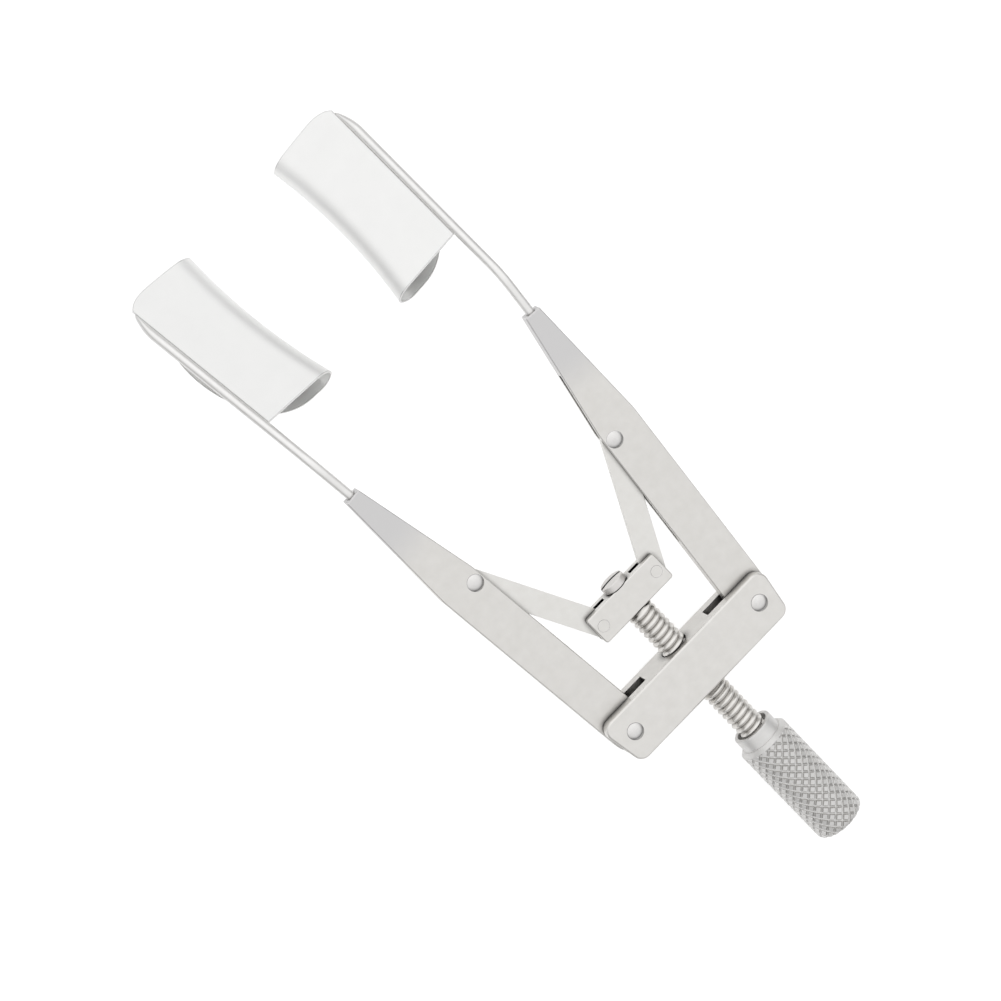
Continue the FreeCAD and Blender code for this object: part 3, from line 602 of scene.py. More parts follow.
def finish_piece(
    mesh: bmesh.types.BMesh,
    name: str,
    body: str,
    nodes: Sequence[str],
    finish: SteelFinish,
    place: Optional[Matrix] = None,
    smooth_degrees: float = 35.0,
) -> bpy.types.Object:
    """Turn a finished mesh into a piece that stands for its nodes.

    Args:
        mesh: The mesh, freed here.
        name: The new piece's name.
        body: The body that it rides on.
        nodes: The nodes that it replaces.
        finish: Its surface finish.
        place: Its place in the mechanism's frame; None where the mesh is already in metres.
        smooth_degrees: The steepest edge that is shaded smooth.

    Returns:
        The piece's object, at the origin.
    """
    if place is not None:
        matrix = MECHANISM.matrix @ place
        bmesh.ops.transform(mesh, matrix=matrix, verts=mesh.verts)
        bmesh.ops.recalc_face_normals(mesh, faces=mesh.faces)
    mark_edges(mesh, smooth_degrees)
    data = mesh_data(name, mesh)
    piece = add_object(name, data)
    data.materials.append(finish.material())
    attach(piece, body)
    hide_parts(*nodes)
    LOG.info("%s: %d faces", name, len(data.polygons))
    return piece


def add_bevel(piece: bpy.types.Object, width_mm: float, segments: int, degrees: float) -> None:
    """Round a piece's crisp edges with a live bevel.

    Args:
        piece: The piece.
        width_mm: How wide the rounding is.
        segments: How many faces go round it.
        degrees: The shallowest edge that is rounded.
    """
    bevel = piece.modifiers.new("eased_edges", "BEVEL")
    bevel.width = width_mm * MM
    bevel.segments = segments
    bevel.limit_method = "ANGLE"
    bevel.angle_limit = math.radians(degrees)
    bevel.harden_normals = True


def node_copy(node: str, flat_degrees: float = 0.5) -> bmesh.types.BMesh:
    """Return a welded copy of a node's mesh with its flat faces made whole.

    Args:
        node: The node's name.
        flat_degrees: Faces that meet within this angle become one.

    Returns:
        The copy, in metres.
    """
    mesh = bmesh.new()
    mesh.from_mesh(frame["nodes"][node].data)
    bmesh.ops.remove_doubles(mesh, verts=mesh.verts, dist=SOLID_WELD_M)
    bmesh.ops.dissolve_limit(
        mesh, angle_limit=math.radians(flat_degrees), verts=mesh.verts, edges=mesh.edges
    )
    return mesh


def cut_away(mesh: bmesh.types.BMesh, cutter: bmesh.types.BMesh) -> bmesh.types.BMesh:
    """Cut one solid out of another.

    Args:
        mesh: The solid that is cut, freed here.
        cutter: The solid that is taken away, freed here.

    Returns:
        What is left.
    """
    helpers = [
        add_object(name, mesh_data(name, source))
        for name, source in (("blank", mesh), ("cutter", cutter))
    ]
    cut = helpers[0].modifiers.new("cut", "BOOLEAN")
    cut.operation = "DIFFERENCE"
    cut.solver = "EXACT"
    cut.object = helpers[1]
    seen = helpers[0].evaluated_get(bpy.context.evaluated_depsgraph_get())
    left = bmesh.new()
    left.from_mesh(seen.to_mesh())
    seen.to_mesh_clear()
    for helper in helpers:
        data = helper.data
        bpy.data.objects.remove(helper)
        bpy.data.meshes.remove(data)
    return left


def spin_profile(stations: Sequence[Station], steps: int) -> bmesh.types.BMesh:
    """Spin a half profile about the Y axis into a closed solid.

    Args:
        stations: Radius and place along Y, with a radius of zero at each end.
        steps: How many faces go round.

    Returns:
        The turned solid.
    """
    mesh = bmesh.new()
    points = [mesh.verts.new((radius, place, 0.0)) for radius, place in stations]
    lines = [mesh.edges.new(pair) for pair in zip(points, points[1:])]
    bmesh.ops.spin(
        mesh,
        geom=points + lines,
        cent=(0.0, 0.0, 0.0),
        axis=(0.0, 1.0, 0.0),
        angle=FULL_TURN,
        steps=steps,
        use_merge=True,
    )
    bmesh.ops.remove_doubles(mesh, verts=mesh.verts, dist=FINE_WELD)
    bmesh.ops.recalc_face_normals(mesh, faces=mesh.faces)
    return mesh


def arc_stations(
    centre: Station, radius: float, first: float, last: float, steps: int
) -> List[Station]:
    """Return stations along an arc of a half profile.

    Args:
        centre: Radius and place along Y of the arc's centre.
        radius: The arc's radius.
        first: Its first angle in degrees, from the outward direction toward +Y.
        last: Its last angle.
        steps: How many pieces it has.

    Returns:
        The stations, both ends with them.
    """
    found = []
    for step in range(steps + 1):
        angle = math.radians(first + (last - first) * step / steps)
        found.append((centre[0] + radius * math.cos(angle), centre[1] + radius * math.sin(angle)))
    return found


@dataclass
class Frameplates:
    """The base bar, the arms, the links and the crosshead: ground flat parts."""

    edge_mm: float = 0.035
    edge_steps: int = 2
    edge_degrees: float = 35.0
    smooth_degrees: float = 30.0

    def dress(self, node: str, body: str, finish: SteelFinish) -> None:
        """Ease one flat part's edges and give it its finish.

        Args:
            node: The part's node.
            body: The body that it belongs to.
            finish: Its finish.
        """
        piece = finish_piece(
            node_copy(node), node + "_ground", body, [node], finish,
            smooth_degrees=self.smooth_degrees,
        )
        add_bevel(piece, self.edge_mm, self.edge_steps, self.edge_degrees)

    def build(self) -> None:
        """Dress every flat part."""
        self.dress("base_bar", "base", GROUND_STEEL)
        self.dress("crosshead", "carriage", GROUND_STEEL)
        for side in Side:
            self.dress(side.node("arm"), side.node("arm"), GROUND_ARM_STEEL)
            self.dress(side.node("link"), side.node("link"), GROUND_LINK_STEEL)


@dataclass
class Rivets:
    """The pivots of the arms and links, with hammered heads."""

    pivot_r: float = 0.75
    arm_head_r: float = 0.76
    arm_shank_r: float = 0.45
    arm_sink: float = 0.2
    head_gap: float = 0.01
    cross_r: float = 0.53
    dome: float = 0.28
    round_steps: int = 48
    cap_steps: int = 7

    def cap(self, radius: float, foot: float, rise: float) -> List[Station]:
        """Return a domed cap from its rim to its crown.

        Args:
            radius: The rim's radius.
            foot: The rim's place along the axis.
            rise: How far the crown stands over the rim.

        Returns:
            The stations.
        """
        ball = (radius ** 2 + rise ** 2) / (2.0 * rise)
        start = math.degrees(math.acos(radius / ball))
        return arc_stations((0.0, foot + rise - ball), ball, start, 90.0, self.cap_steps)

    def solid(self, half_profile: List[Station]) -> bmesh.types.BMesh:
        """Return an upright pin from the upper half of its profile, rim to crown.

        Args:
            half_profile: Stations above the middle, from the shank up to the crown.

        Returns:
            The pin, standing along Z.
        """
        lower = [(radius, -place) for radius, place in reversed(half_profile)]
        mesh = spin_profile(lower + half_profile, self.round_steps)
        bmesh.ops.rotate(
            mesh,
            cent=(0.0, 0.0, 0.0),
            matrix=Matrix.Rotation(math.radians(90.0), 3, "X"),
            verts=mesh.verts,
        )
        return mesh

    def build(self) -> None:
        """Make every rivet and pin."""
        half_arm = LAYOUT.arm_thick / 2.0
        head_floor = half_arm - self.arm_sink + self.head_gap
        shank = [(self.arm_shank_r, head_floor), (self.arm_head_r, head_floor)]
        flush = LAYOUT.cross_thick / 2.0
        in_arm = Matrix.Translation((-LAYOUT.arm_pin_inset, LAYOUT.arm_pin_y, 0.0))
        for side in Side:
            rows = (
                (
                    "base_pin", "rivet", "base", BUFFED_STEEL,
                    self.cap(self.pivot_r, LAYOUT.base_thick / 2.0, self.dome),
                    Matrix.Translation((LAYOUT.arm_pivot_x, 0.0, 0.0)),
                ),
                (
                    "arm_pin", "rivet", side.node("arm"), BUFFED_STEEL,
                    shank + self.cap(self.arm_head_r, half_arm, self.dome),
                    LAYOUT.arm_matrix() @ in_arm,
                ),
                (
                    "cross_pin", "flush", "carriage", GROUND_STEEL,
                    [(self.cross_r, flush), (0.0, flush)],
                    Matrix.Translation((LAYOUT.cross_pin_x, LAYOUT.cross_y, 0.0)),
                ),
            )
            for stem, head, body, finish, profile, place in rows:
                node = side.node(stem)
                finish_piece(
                    self.solid(profile), "%s_%s" % (node, head), body, [node],
                    finish, mirrored(side) @ place,
                )


@dataclass
class DriveScrew:
    """The screw: a coarse round-crested thread with a journal at its front end."""

    crest_r: float = 1.3
    depth: float = 0.26
    crest_breadth: float = 0.55
    pitch: float = 0.62
    journal_r: float = 0.65
    round_steps: int = 40
    profile_steps: int = 10
    lead_turns: float = 1.5
    spare_turns: int = 2
    end_chamfer: float = 0.2
    end_rim: float = 0.02
    journal_inside: float = 0.5

    def thread_radius(self, share: float) -> float:
        """Return the thread's radius at a share of one pitch.

        Args:
            share: From zero, in the root, over the crest at a half, to one.

        Returns:
            The radius there.
        """
        wave = 0.5 - 0.5 * math.cos(FULL_TURN * share)
        return self.crest_r - self.depth * (1.0 - wave ** self.crest_breadth)

    def thread(self, rear: float, front: float) -> bmesh.types.BMesh:
        """Cut the thread between two places on the screw axis.

        Args:
            rear: The rear end.
            front: The front end.

        Returns:
            The threaded rod, closed at both ends.
        """
        mesh = bmesh.new()
        turns = math.ceil((front - rear) / self.pitch) + self.spare_turns
        points = []
        for step in range(self.profile_steps + 1):
            share = step / self.profile_steps
            place = rear - self.lead_turns * self.pitch + share * self.pitch
            points.append(mesh.verts.new((self.thread_radius(share), place, 0.0)))
        lines = [mesh.edges.new(pair) for pair in zip(points, points[1:])]
        steps = turns * self.round_steps
        bmesh.ops.spin(
            mesh,
            geom=points + lines,
            cent=(0.0, 0.0, 0.0),
            axis=(0.0, 1.0, 0.0),
            dvec=(0.0, self.pitch / self.round_steps, 0.0),
            angle=FULL_TURN * turns,
            steps=steps,
        )
        bmesh.ops.remove_doubles(mesh, verts=mesh.verts, dist=WELD)
        for place, way in ((rear, -1.0), (front, 1.0)):
            cut_along(mesh, (0.0, place, 0.0), (0.0, way, 0.0), clear=True)
        root = self.crest_r - self.depth
        for vert in mesh.verts:
            inward = min(vert.co.y - rear, front - vert.co.y)
            radius = math.hypot(vert.co.x, vert.co.z)
            limit = root + self.end_rim + max(inward, 0.0) * self.depth / self.end_chamfer
            if radius > limit:
                vert.co.x *= limit / radius
                vert.co.z *= limit / radius
        open_edges = [edge for edge in mesh.edges if edge.is_boundary]
        bmesh.ops.holes_fill(mesh, edges=open_edges, sides=0)
        bmesh.ops.recalc_face_normals(mesh, faces=mesh.faces)
        return mesh

    def build(self) -> None:
        """Make the screw with its journal."""
        rear = LAYOUT.knob_face - LAYOUT.screw_in_knob
        back = LAYOUT.cross_y - LAYOUT.cross_depth / 2.0 - LAYOUT.shoulder_gap
        front = LAYOUT.cross_y + LAYOUT.cross_depth / 2.0 + LAYOUT.shoulder_gap / 2.0
        tail = back - self.journal_inside
        mesh = self.thread(rear, back)
        journal = spin_profile(
            [(0.0, tail), (self.journal_r, tail), (self.journal_r, front), (0.0, front)],
            self.round_steps,
        )
        joined = mesh_data("journal", journal)
        mesh.from_mesh(joined)
        bpy.data.meshes.remove(joined)
        finish_piece(
            mesh, "drive_screw_threaded", "screw", ["drive_screw"], THREAD_STEEL,
            Matrix.Identity(4), smooth_degrees=40.0,
        )


@dataclass
class Knob:
    """The knurled knob with its smooth collar and the recess round the screw."""

    grip_r: float = 2.48
    grip_length: float = 11.0
    front_chamfer: float = 0.35
    rear_radius: float = 0.5
    collar_r: float = 1.95
    collar_length: float = 1.3
    collar_lip: float = 0.12
    collar_root_r: float = 0.06
    recess_r: float = 1.6
    recess_edge_r: float = 0.05
    recess_depth: float = 0.7
    bore_r: float = 1.31
    rear_rings: Tuple[float, ...] = (1.2, 0.5, 0.0)
    rows_round: int = 17
    groove_depth: float = 0.12
    burr_height: float = 0.07
    top_share: float = 0.46
    foot_share: float = 0.62
    fade: float = 0.15
    round_cuts: int = 4
    edge_steps: int = 3
    lip_steps: int = 5

    @property
    def slope(self) -> float:
        """Return the length of the front chamfer's slope."""
        return self.front_chamfer * math.sqrt(2.0)

    @property
    def straight(self) -> float:
        """Return the grip's length between the chamfer and the rear rounding."""
        return self.grip_length - self.front_chamfer - self.rear_radius

    def generatrix(self, way: float) -> Tuple[Station, Station]:
        """Return the grip's outline and its outward direction at a distance along it.

        Args:
            way: The distance from the chamfer's inner end, toward the rear.

        Returns:
            The station there and the outward direction.
        """
        step = LAYOUT.knob_face - self.collar_length
        rear = step - self.grip_length
        if way < self.slope:
            part = way / math.sqrt(2.0)
            half = math.sqrt(0.5)
            return (self.grip_r - self.front_chamfer + part, step - part), (half, half)
        if way < self.slope + self.straight:
            return (self.grip_r, step - self.front_chamfer - (way - self.slope)), (1.0, 0.0)
        turn = (way - self.slope - self.straight) / self.rear_radius
        out, back = math.cos(turn), math.sin(turn)
        centre = (self.grip_r - self.rear_radius, rear + self.rear_radius)
        place = (centre[0] + self.rear_radius * out, centre[1] - self.rear_radius * back)
        return place, (out, -back)

    def outline_length(self) -> float:
        """Return the length of the grip's outline from chamfer to rear rounding."""
        return self.slope + self.straight + self.rear_radius * math.pi / 2.0

    def diamond_sheet(self) -> bmesh.types.BMesh:
        """Make the knurling unrolled.

        Returns:
            The knurling, with x round the grip, y along it and z outward.
        """
        around = FULL_TURN * self.grip_r
        length = self.outline_length()
        cell = around / self.rows_round / math.sqrt(2.0)
        count = 2 * math.ceil((around + length) / cell / 2.0) + 2
        mesh = bmesh.new()
        bmesh.ops.create_grid(mesh, x_segments=count, y_segments=count, size=count * cell / 2.0)
        bmesh.ops.rotate(
            mesh,
            cent=(0.0, 0.0, 0.0),
            matrix=Matrix.Rotation(math.radians(45.0), 3, "Z"),
            verts=mesh.verts,
        )
        squares = mesh.faces[:]
        burrs = mesh.verts[:]
        floor = cell * (1.0 - self.foot_share) / 2.0
        flank = cell * (self.foot_share - self.top_share) / 2.0
        bmesh.ops.inset_individual(mesh, faces=squares, thickness=floor, depth=0.0)
        bmesh.ops.translate(mesh, vec=(0.0, 0.0, -self.groove_depth), verts=mesh.verts)
        bmesh.ops.inset_individual(
            mesh, faces=squares, thickness=flank, depth=self.groove_depth, use_even_offset=True
        )
        bmesh.ops.translate(mesh, vec=(0.0, 0.0, self.burr_height), verts=burrs)
        bmesh.ops.translate(mesh, vec=(around / 2.0, length / 2.0, 0.0), verts=mesh.verts)
        cuts = (
            ((0.0, 0.0, 0.0), (-1.0, 0.0, 0.0)),
            ((around, 0.0, 0.0), (1.0, 0.0, 0.0)),
            ((0.0, 0.0, 0.0), (0.0, -1.0, 0.0)),
            ((0.0, length, 0.0), (0.0, 1.0, 0.0)),
        )
        for place, way in cuts:
            cut_along(mesh, place, way, clear=True)
        turn = self.rear_radius * math.pi / 2.0
        bends = [self.slope, self.slope + self.fade]
        bends += [length - turn * step / self.round_cuts for step in range(1, self.round_cuts + 1)]
        for bend in bends:
            cut_along(mesh, (0.0, bend, 0.0), (0.0, 1.0, 0.0))
        return mesh

    def wrap(self, mesh: bmesh.types.BMesh) -> None:
        """Roll the unrolled knurling round the grip.

        Args:
            mesh: The unrolled knurling.
        """
        length = self.outline_length()
        for vert in mesh.verts:
            edge_share = min(vert.co.y - self.slope, length - vert.co.y) / self.fade
            height = vert.co.z * min(max(edge_share, 0.0), 1.0)
            place, out = self.generatrix(min(max(vert.co.y, 0.0), length))
            angle = vert.co.x / self.grip_r
            radius = place[0] + out[0] * height
            vert.co = (
                radius * math.cos(angle), place[1] + out[1] * height, radius * math.sin(angle)
            )
        bmesh.ops.remove_doubles(mesh, verts=mesh.verts, dist=WELD)

    def carry_on(
        self, mesh: bmesh.types.BMesh, rim: List[bmesh.types.BMEdge], stations: Sequence[Station]
    ) -> None:
        """Draw an open rim on through turned stations and close it at the axis.

        Args:
            mesh: The knob's mesh.
            rim: The edges of its open rim.
            stations: The stations that follow, the last of them on the axis.
        """
        edges = rim
        for radius, place in stations:
            made = bmesh.ops.extrude_edge_only(mesh, edges=edges)["geom"]
            edges = [item for item in made if isinstance(item, bmesh.types.BMEdge)]
            for vert in [item for item in made if isinstance(item, bmesh.types.BMVert)]:
                angle = math.atan2(vert.co.z, vert.co.x)
                vert.co = (radius * math.cos(angle), place, radius * math.sin(angle))

    def build(self) -> None:
        """Make the knob."""
        mesh = self.diamond_sheet()
        self.wrap(mesh)
        face = LAYOUT.knob_face
        step = face - self.collar_length
        rear = step - self.grip_length
        middle = (step + rear) / 2.0
        rims = [edge for edge in mesh.edges if edge.is_boundary]
        ahead = [edge for edge in rims if edge.verts[0].co.y > middle]
        behind = [edge for edge in rims if edge.verts[0].co.y <= middle]
        lip = self.collar_lip
        root = self.collar_r + self.collar_root_r
        lead = self.recess_edge_r
        bottom = face - self.recess_depth
        floor = face - LAYOUT.screw_in_knob
        front = [(root, step)]
        front += arc_stations(
            (root, step + self.collar_root_r), self.collar_root_r, 270.0, 180.0, self.edge_steps
        )[1:]
        front += arc_stations((self.collar_r - lip, face - lip), lip, 0.0, 90.0, self.lip_steps)
        front += arc_stations(
            (self.recess_r + lead, face - lead), lead, 90.0, 180.0, self.edge_steps
        )
        front += [(self.recess_r, bottom), (self.bore_r, bottom), (self.bore_r, floor), (0.0, floor)]
        self.carry_on(mesh, ahead, front)
        self.carry_on(mesh, behind, [(radius, rear) for radius in self.rear_rings])
        bmesh.ops.remove_doubles(mesh, verts=mesh.verts, dist=WELD)
        finish_piece(
            mesh, "knob_knurled", "screw", ["knob"], KNURLED_STEEL,
            Matrix.Identity(4), smooth_degrees=28.0,
        )


@dataclass
class RetainingScrew:
    """The slotted pan-head screw that holds the crosshead on the journal."""

    head_r: float = 1.19
    head_height: float = 0.76
    head_dome: float = 0.1
    edge_r: float = 0.16
    edge_turn: float = 32.0
    edge_steps: int = 4
    dome_lap: float = 3.0
    seat_chamfer: float = 0.05
    slot_width: float = 0.38
    slot_depth: float = 0.34
    slot_edge_mm: float = 0.03
    slot_edge_steps: int = 2
    slot_edge_degrees: float = 50.0
    shank_r: float = 0.33
    shank_length: float = 1.59
    round_steps: int = 72
    cap_steps: int = 9

    def blank(self, seat: float) -> bmesh.types.BMesh:
        """Return the screw before its slot is cut.

        Args:
            seat: The place of the head's underside on the screw axis.

        Returns:
            The turned blank.
        """
        rim = seat + self.head_height - self.head_dome
        ball = (self.head_r ** 2 + self.head_dome ** 2) / (2.0 * self.head_dome)
        start = math.degrees(math.acos(self.head_r / ball))
        centre = (0.0, seat + self.head_height - ball)
        dome = arc_stations(centre, ball, start + self.dome_lap, 90.0, self.cap_steps)
        centre = (self.head_r - self.edge_r, rim - self.edge_r / 2.0)
        ease = arc_stations(centre, self.edge_r, 0.0, self.edge_turn, self.edge_steps)
        tail = seat - self.shank_length
        below = [
            (0.0, tail),
            (self.shank_r, tail),
            (self.shank_r, seat),
            (self.head_r - self.seat_chamfer, seat),
            (self.head_r, seat + self.seat_chamfer),
        ]
        return spin_profile(below + ease + dome, self.round_steps)

    def build(self) -> None:
        """Make the retaining screw, its slot level with the crosshead's long edge."""
        seat = LAYOUT.cross_y + LAYOUT.cross_depth / 2.0 + LAYOUT.shoulder_gap
        cutter = bmesh.new()
        bmesh.ops.create_cube(cutter, size=1.0)
        top = seat + self.head_height
        scale = Matrix.Diagonal((4.0 * self.head_r, 2.0 * self.slot_depth, self.slot_width, 1.0))
        bmesh.ops.transform(
            cutter, matrix=Matrix.Translation((0.0, top, 0.0)) @ scale, verts=cutter.verts
        )
        mesh = cut_away(self.blank(seat), cutter)
        piece = finish_piece(
            mesh, "retaining_screw_turned", "screw", ["retaining_screw"],
            TUMBLED_STEEL, Matrix.Identity(4), smooth_degrees=30.0,
        )
        add_bevel(piece, self.slot_edge_mm, self.slot_edge_steps, self.slot_edge_degrees)


@dataclass
class Wires:
    """The two bent wires that carry the blades, ground slender at their front tips."""

    taper: float = 2.6
    taper_cuts: int = 10
    tip_breadth: float = 0.2
    tip_height: float = 0.65
    tip_lead: float = 0.2
    flat_degrees: float = 0.05

    def grind_tip(self, mesh: bmesh.types.BMesh) -> None:
        """Grind the outer side of the front tip away, so that it runs out at the blade.

        Args:
            mesh: The wire in the blade's frame, changed here.
        """
        start = max(vert.co.y for vert in mesh.verts) - self.taper
        for cut in range(self.taper_cuts):
            place = start + self.taper * cut / self.taper_cuts
            cut_along(mesh, (0.0, place, 0.0), (0.0, 1.0, 0.0), FINE_WELD)
        inner = -LAYOUT.wire_r
        for vert in mesh.verts:
            part = max(vert.co.y - start, 0.0) / self.taper
            shrink = part ** 2
            breadth = 1.0 - (1.0 - self.tip_breadth) * shrink
            height = 1.0 - (1.0 - self.tip_height) * shrink
            vert.co = (
                inner + (vert.co.x - inner) * breadth,
                vert.co.y + self.tip_lead * shrink,
                vert.co.z * height,
            )

    def build(self) -> None:
        """Make both wires."""
        for side in Side:
            node = side.node("wire")
            mesh = node_copy(node, self.flat_degrees)
            place = mirrored(side) @ LAYOUT.blade_matrix()
            to_blade = (MECHANISM.matrix @ place).inverted()
            bmesh.ops.transform(mesh, matrix=to_blade, verts=mesh.verts)
            self.grind_tip(mesh)
            finish_piece(
                mesh, node + "_drawn", side.node("arm"), [node], DRAWN_STEEL,
                place, smooth_degrees=40.0,
            )


@dataclass
class Blades:
    """The solid blades: one sheet folded over in a round fold, hollowed like a saddle.

    The upper leaf lies flat from the wire to the fold. The lower leaf comes back under it,
    curves away from it and has a round outline.
    """

    length: float = 16.0
    lead: float = 0.8
    width: float = 7.6
    nose: float = 1.15
    nose_at: float = 2.6
    corner_lead: float = 0.1
    corner_round: float = 1.1
    corner_drop: float = 0.35
    overlap: float = 1.0
    saddle_r: float = 58.0
    sheet: float = 0.4
    fold_r: float = 1.3
    ease: float = 0.5
    seat_share: float = 0.93
    edge_mm: float = 0.08
    edge_steps: int = 3
    edge_degrees: float = 55.0
    lower_r: float = 24.0
    flat: float = 1.8
    corner_r: float = 4.5
    side_r: float = 14.0
    leaf_steps: int = 22
    fold_steps: int = 24
    lower_steps: int = 22
    length_steps: int = 56

    @property
    def front(self) -> float:
        """Return the fold's front end."""
        return self.length + self.lead

    @property
    def middle(self) -> float:
        """Return the middle of the fold's length."""
        return self.front / 2.0

    @property
    def axis_x(self) -> float:
        """Return the place of the upright axis about which the saddle is round."""
        return -self.width - self.saddle_r

    def to_section(self, x: float, y: float) -> float:
        """Return the section's own x for a point of the plan.

        Args:
            x: The point across the blade.
            y: The point along it.

        Returns:
            The place in the flat section.
        """
        return self.axis_x + math.hypot(x - self.axis_x, y - self.middle)

    def to_plan(self, section_x: float, y: float) -> float:
        """Return where a point of the section lies across the plan.

        Args:
            section_x: The place in the section.
            y: The place along the blade.

        Returns:
            The place across the blade.
        """
        reach = section_x - self.axis_x
        return self.axis_x + math.sqrt(reach ** 2 - (y - self.middle) ** 2)

    def front_edge(self, x: float) -> float:
        """Return how far forward the upper leaf reaches at a place across it.

        Args:
            x: The place across the plan.

        Returns:
            The place of the front edge.
        """
        near_wire = max(1.0 + x / self.corner_round, 0.0)
        tip = self.length + self.nose - self.corner_drop * near_wire ** 2
        out = -x - self.nose_at
        rise = self.nose - (self.corner_lead if out < 0.0 else self.lead)
        run = self.nose_at if out < 0.0 else self.width + self.overlap - self.nose_at
        radius = (run ** 2 + rise ** 2) / (2.0 * rise)
        return tip - radius + math.sqrt(radius ** 2 - out ** 2)

    def lower_reach(self, y: float) -> float:
        """Return how far the lower leaf reaches from the fold at a place along it.

        Args:
            y: The place along the blade.

        Returns:
            The place of its outline across the plan.
        """
        half = self.middle
        cosine = (half - self.corner_r) / (self.side_r - self.corner_r)
        sine = math.sqrt(1.0 - cosine ** 2)
        inset = self.corner_r * (1.0 - cosine)
        side = -self.width + self.flat + self.corner_r * sine
        near_end = min(y, self.front - y)
        if near_end < inset:
            up = self.corner_r - near_end
            spread = math.sqrt(max(self.corner_r ** 2 - up ** 2, 0.0))
            return -self.width + self.flat + spread
        return side - self.side_r * sine + math.sqrt(self.side_r ** 2 - (y - half) ** 2)

    def section_point(self, share: float, y: float) -> Tuple[float, float]:
        """Return a point of the sheet's middle surface in its flat section.

        Args:
            share: From zero at the wire, one at the fold, two after it, to three.
            y: The place along the blade.

        Returns:
            The place across the section and its height.
        """
        turn_x = -self.width + self.fold_r
        turn_r = self.fold_r - self.sheet / 2.0
        if share <= 1.0:
            start = self.to_section(-LAYOUT.wire_r * self.seat_share, y)
            return start + (turn_x + self.ease - start) * share, 0.0
        if share <= 2.0:
            angle = math.pi * (0.5 + share - 1.0)
            if angle < math.pi:
                reach = turn_r + self.ease
                return (
                    turn_x + self.ease + reach * math.cos(angle), turn_r * (math.sin(angle) - 1.0)
                )
            return turn_x + turn_r * math.cos(angle), turn_r * (math.sin(angle) - 1.0)
        stop = self.to_section(self.lower_reach(y), y)
        radius = self.lower_r + self.sheet / 2.0
        across = (stop - turn_x) * (share - 2.0)
        fall = radius - math.sqrt(radius ** 2 - across ** 2)
        return turn_x + across, -2.0 * turn_r - fall

    def sheet_mesh(self) -> bmesh.types.BMesh:
        """Make the right blade's middle surface.

        Returns:
            The surface in the blade's own frame.
        """
        across = self.leaf_steps + self.fold_steps + self.lower_steps
        mesh = bmesh.new()
        bmesh.ops.create_grid(mesh, x_segments=across, y_segments=self.length_steps, size=1.0)
        for vert in mesh.verts:
            step = round((vert.co.x + 1.0) / 2.0 * across)
            along = 0.5 - 0.5 * math.cos(math.pi * (vert.co.y + 1.0) / 2.0)
            if step <= self.leaf_steps:
                share = step / self.leaf_steps
            elif step <= self.leaf_steps + self.fold_steps:
                share = 1.0 + (step - self.leaf_steps) / self.fold_steps
            else:
                share = 2.0 + (step - self.leaf_steps - self.fold_steps) / self.lower_steps
            y = along * self.front
            if share < 1.5:
                rough_x = self.to_plan(self.section_point(share, self.length)[0], self.length)
                y = along * max(self.front_edge(rough_x), self.front)
                if share <= 1.0:
                    y = along * self.front_edge(rough_x)
            x, height = self.section_point(share, y)
            vert.co = (self.to_plan(x, y), y, height)
        return mesh

    def build(self) -> None:
        """Make both blades."""
        for side in Side:
            node = side.node("blade")
            mesh = self.sheet_mesh()
            bmesh.ops.recalc_face_normals(mesh, faces=mesh.faces)
            bmesh.ops.solidify(mesh, geom=mesh.faces[:], thickness=self.sheet / 2.0)
            place = mirrored(side) @ LAYOUT.blade_matrix()
            piece = finish_piece(
                mesh, node + "_formed", side.node("arm"), [node], BLASTED_STEEL,
                place, smooth_degrees=40.0,
            )
            add_bevel(piece, self.edge_mm, self.edge_steps, self.edge_degrees)


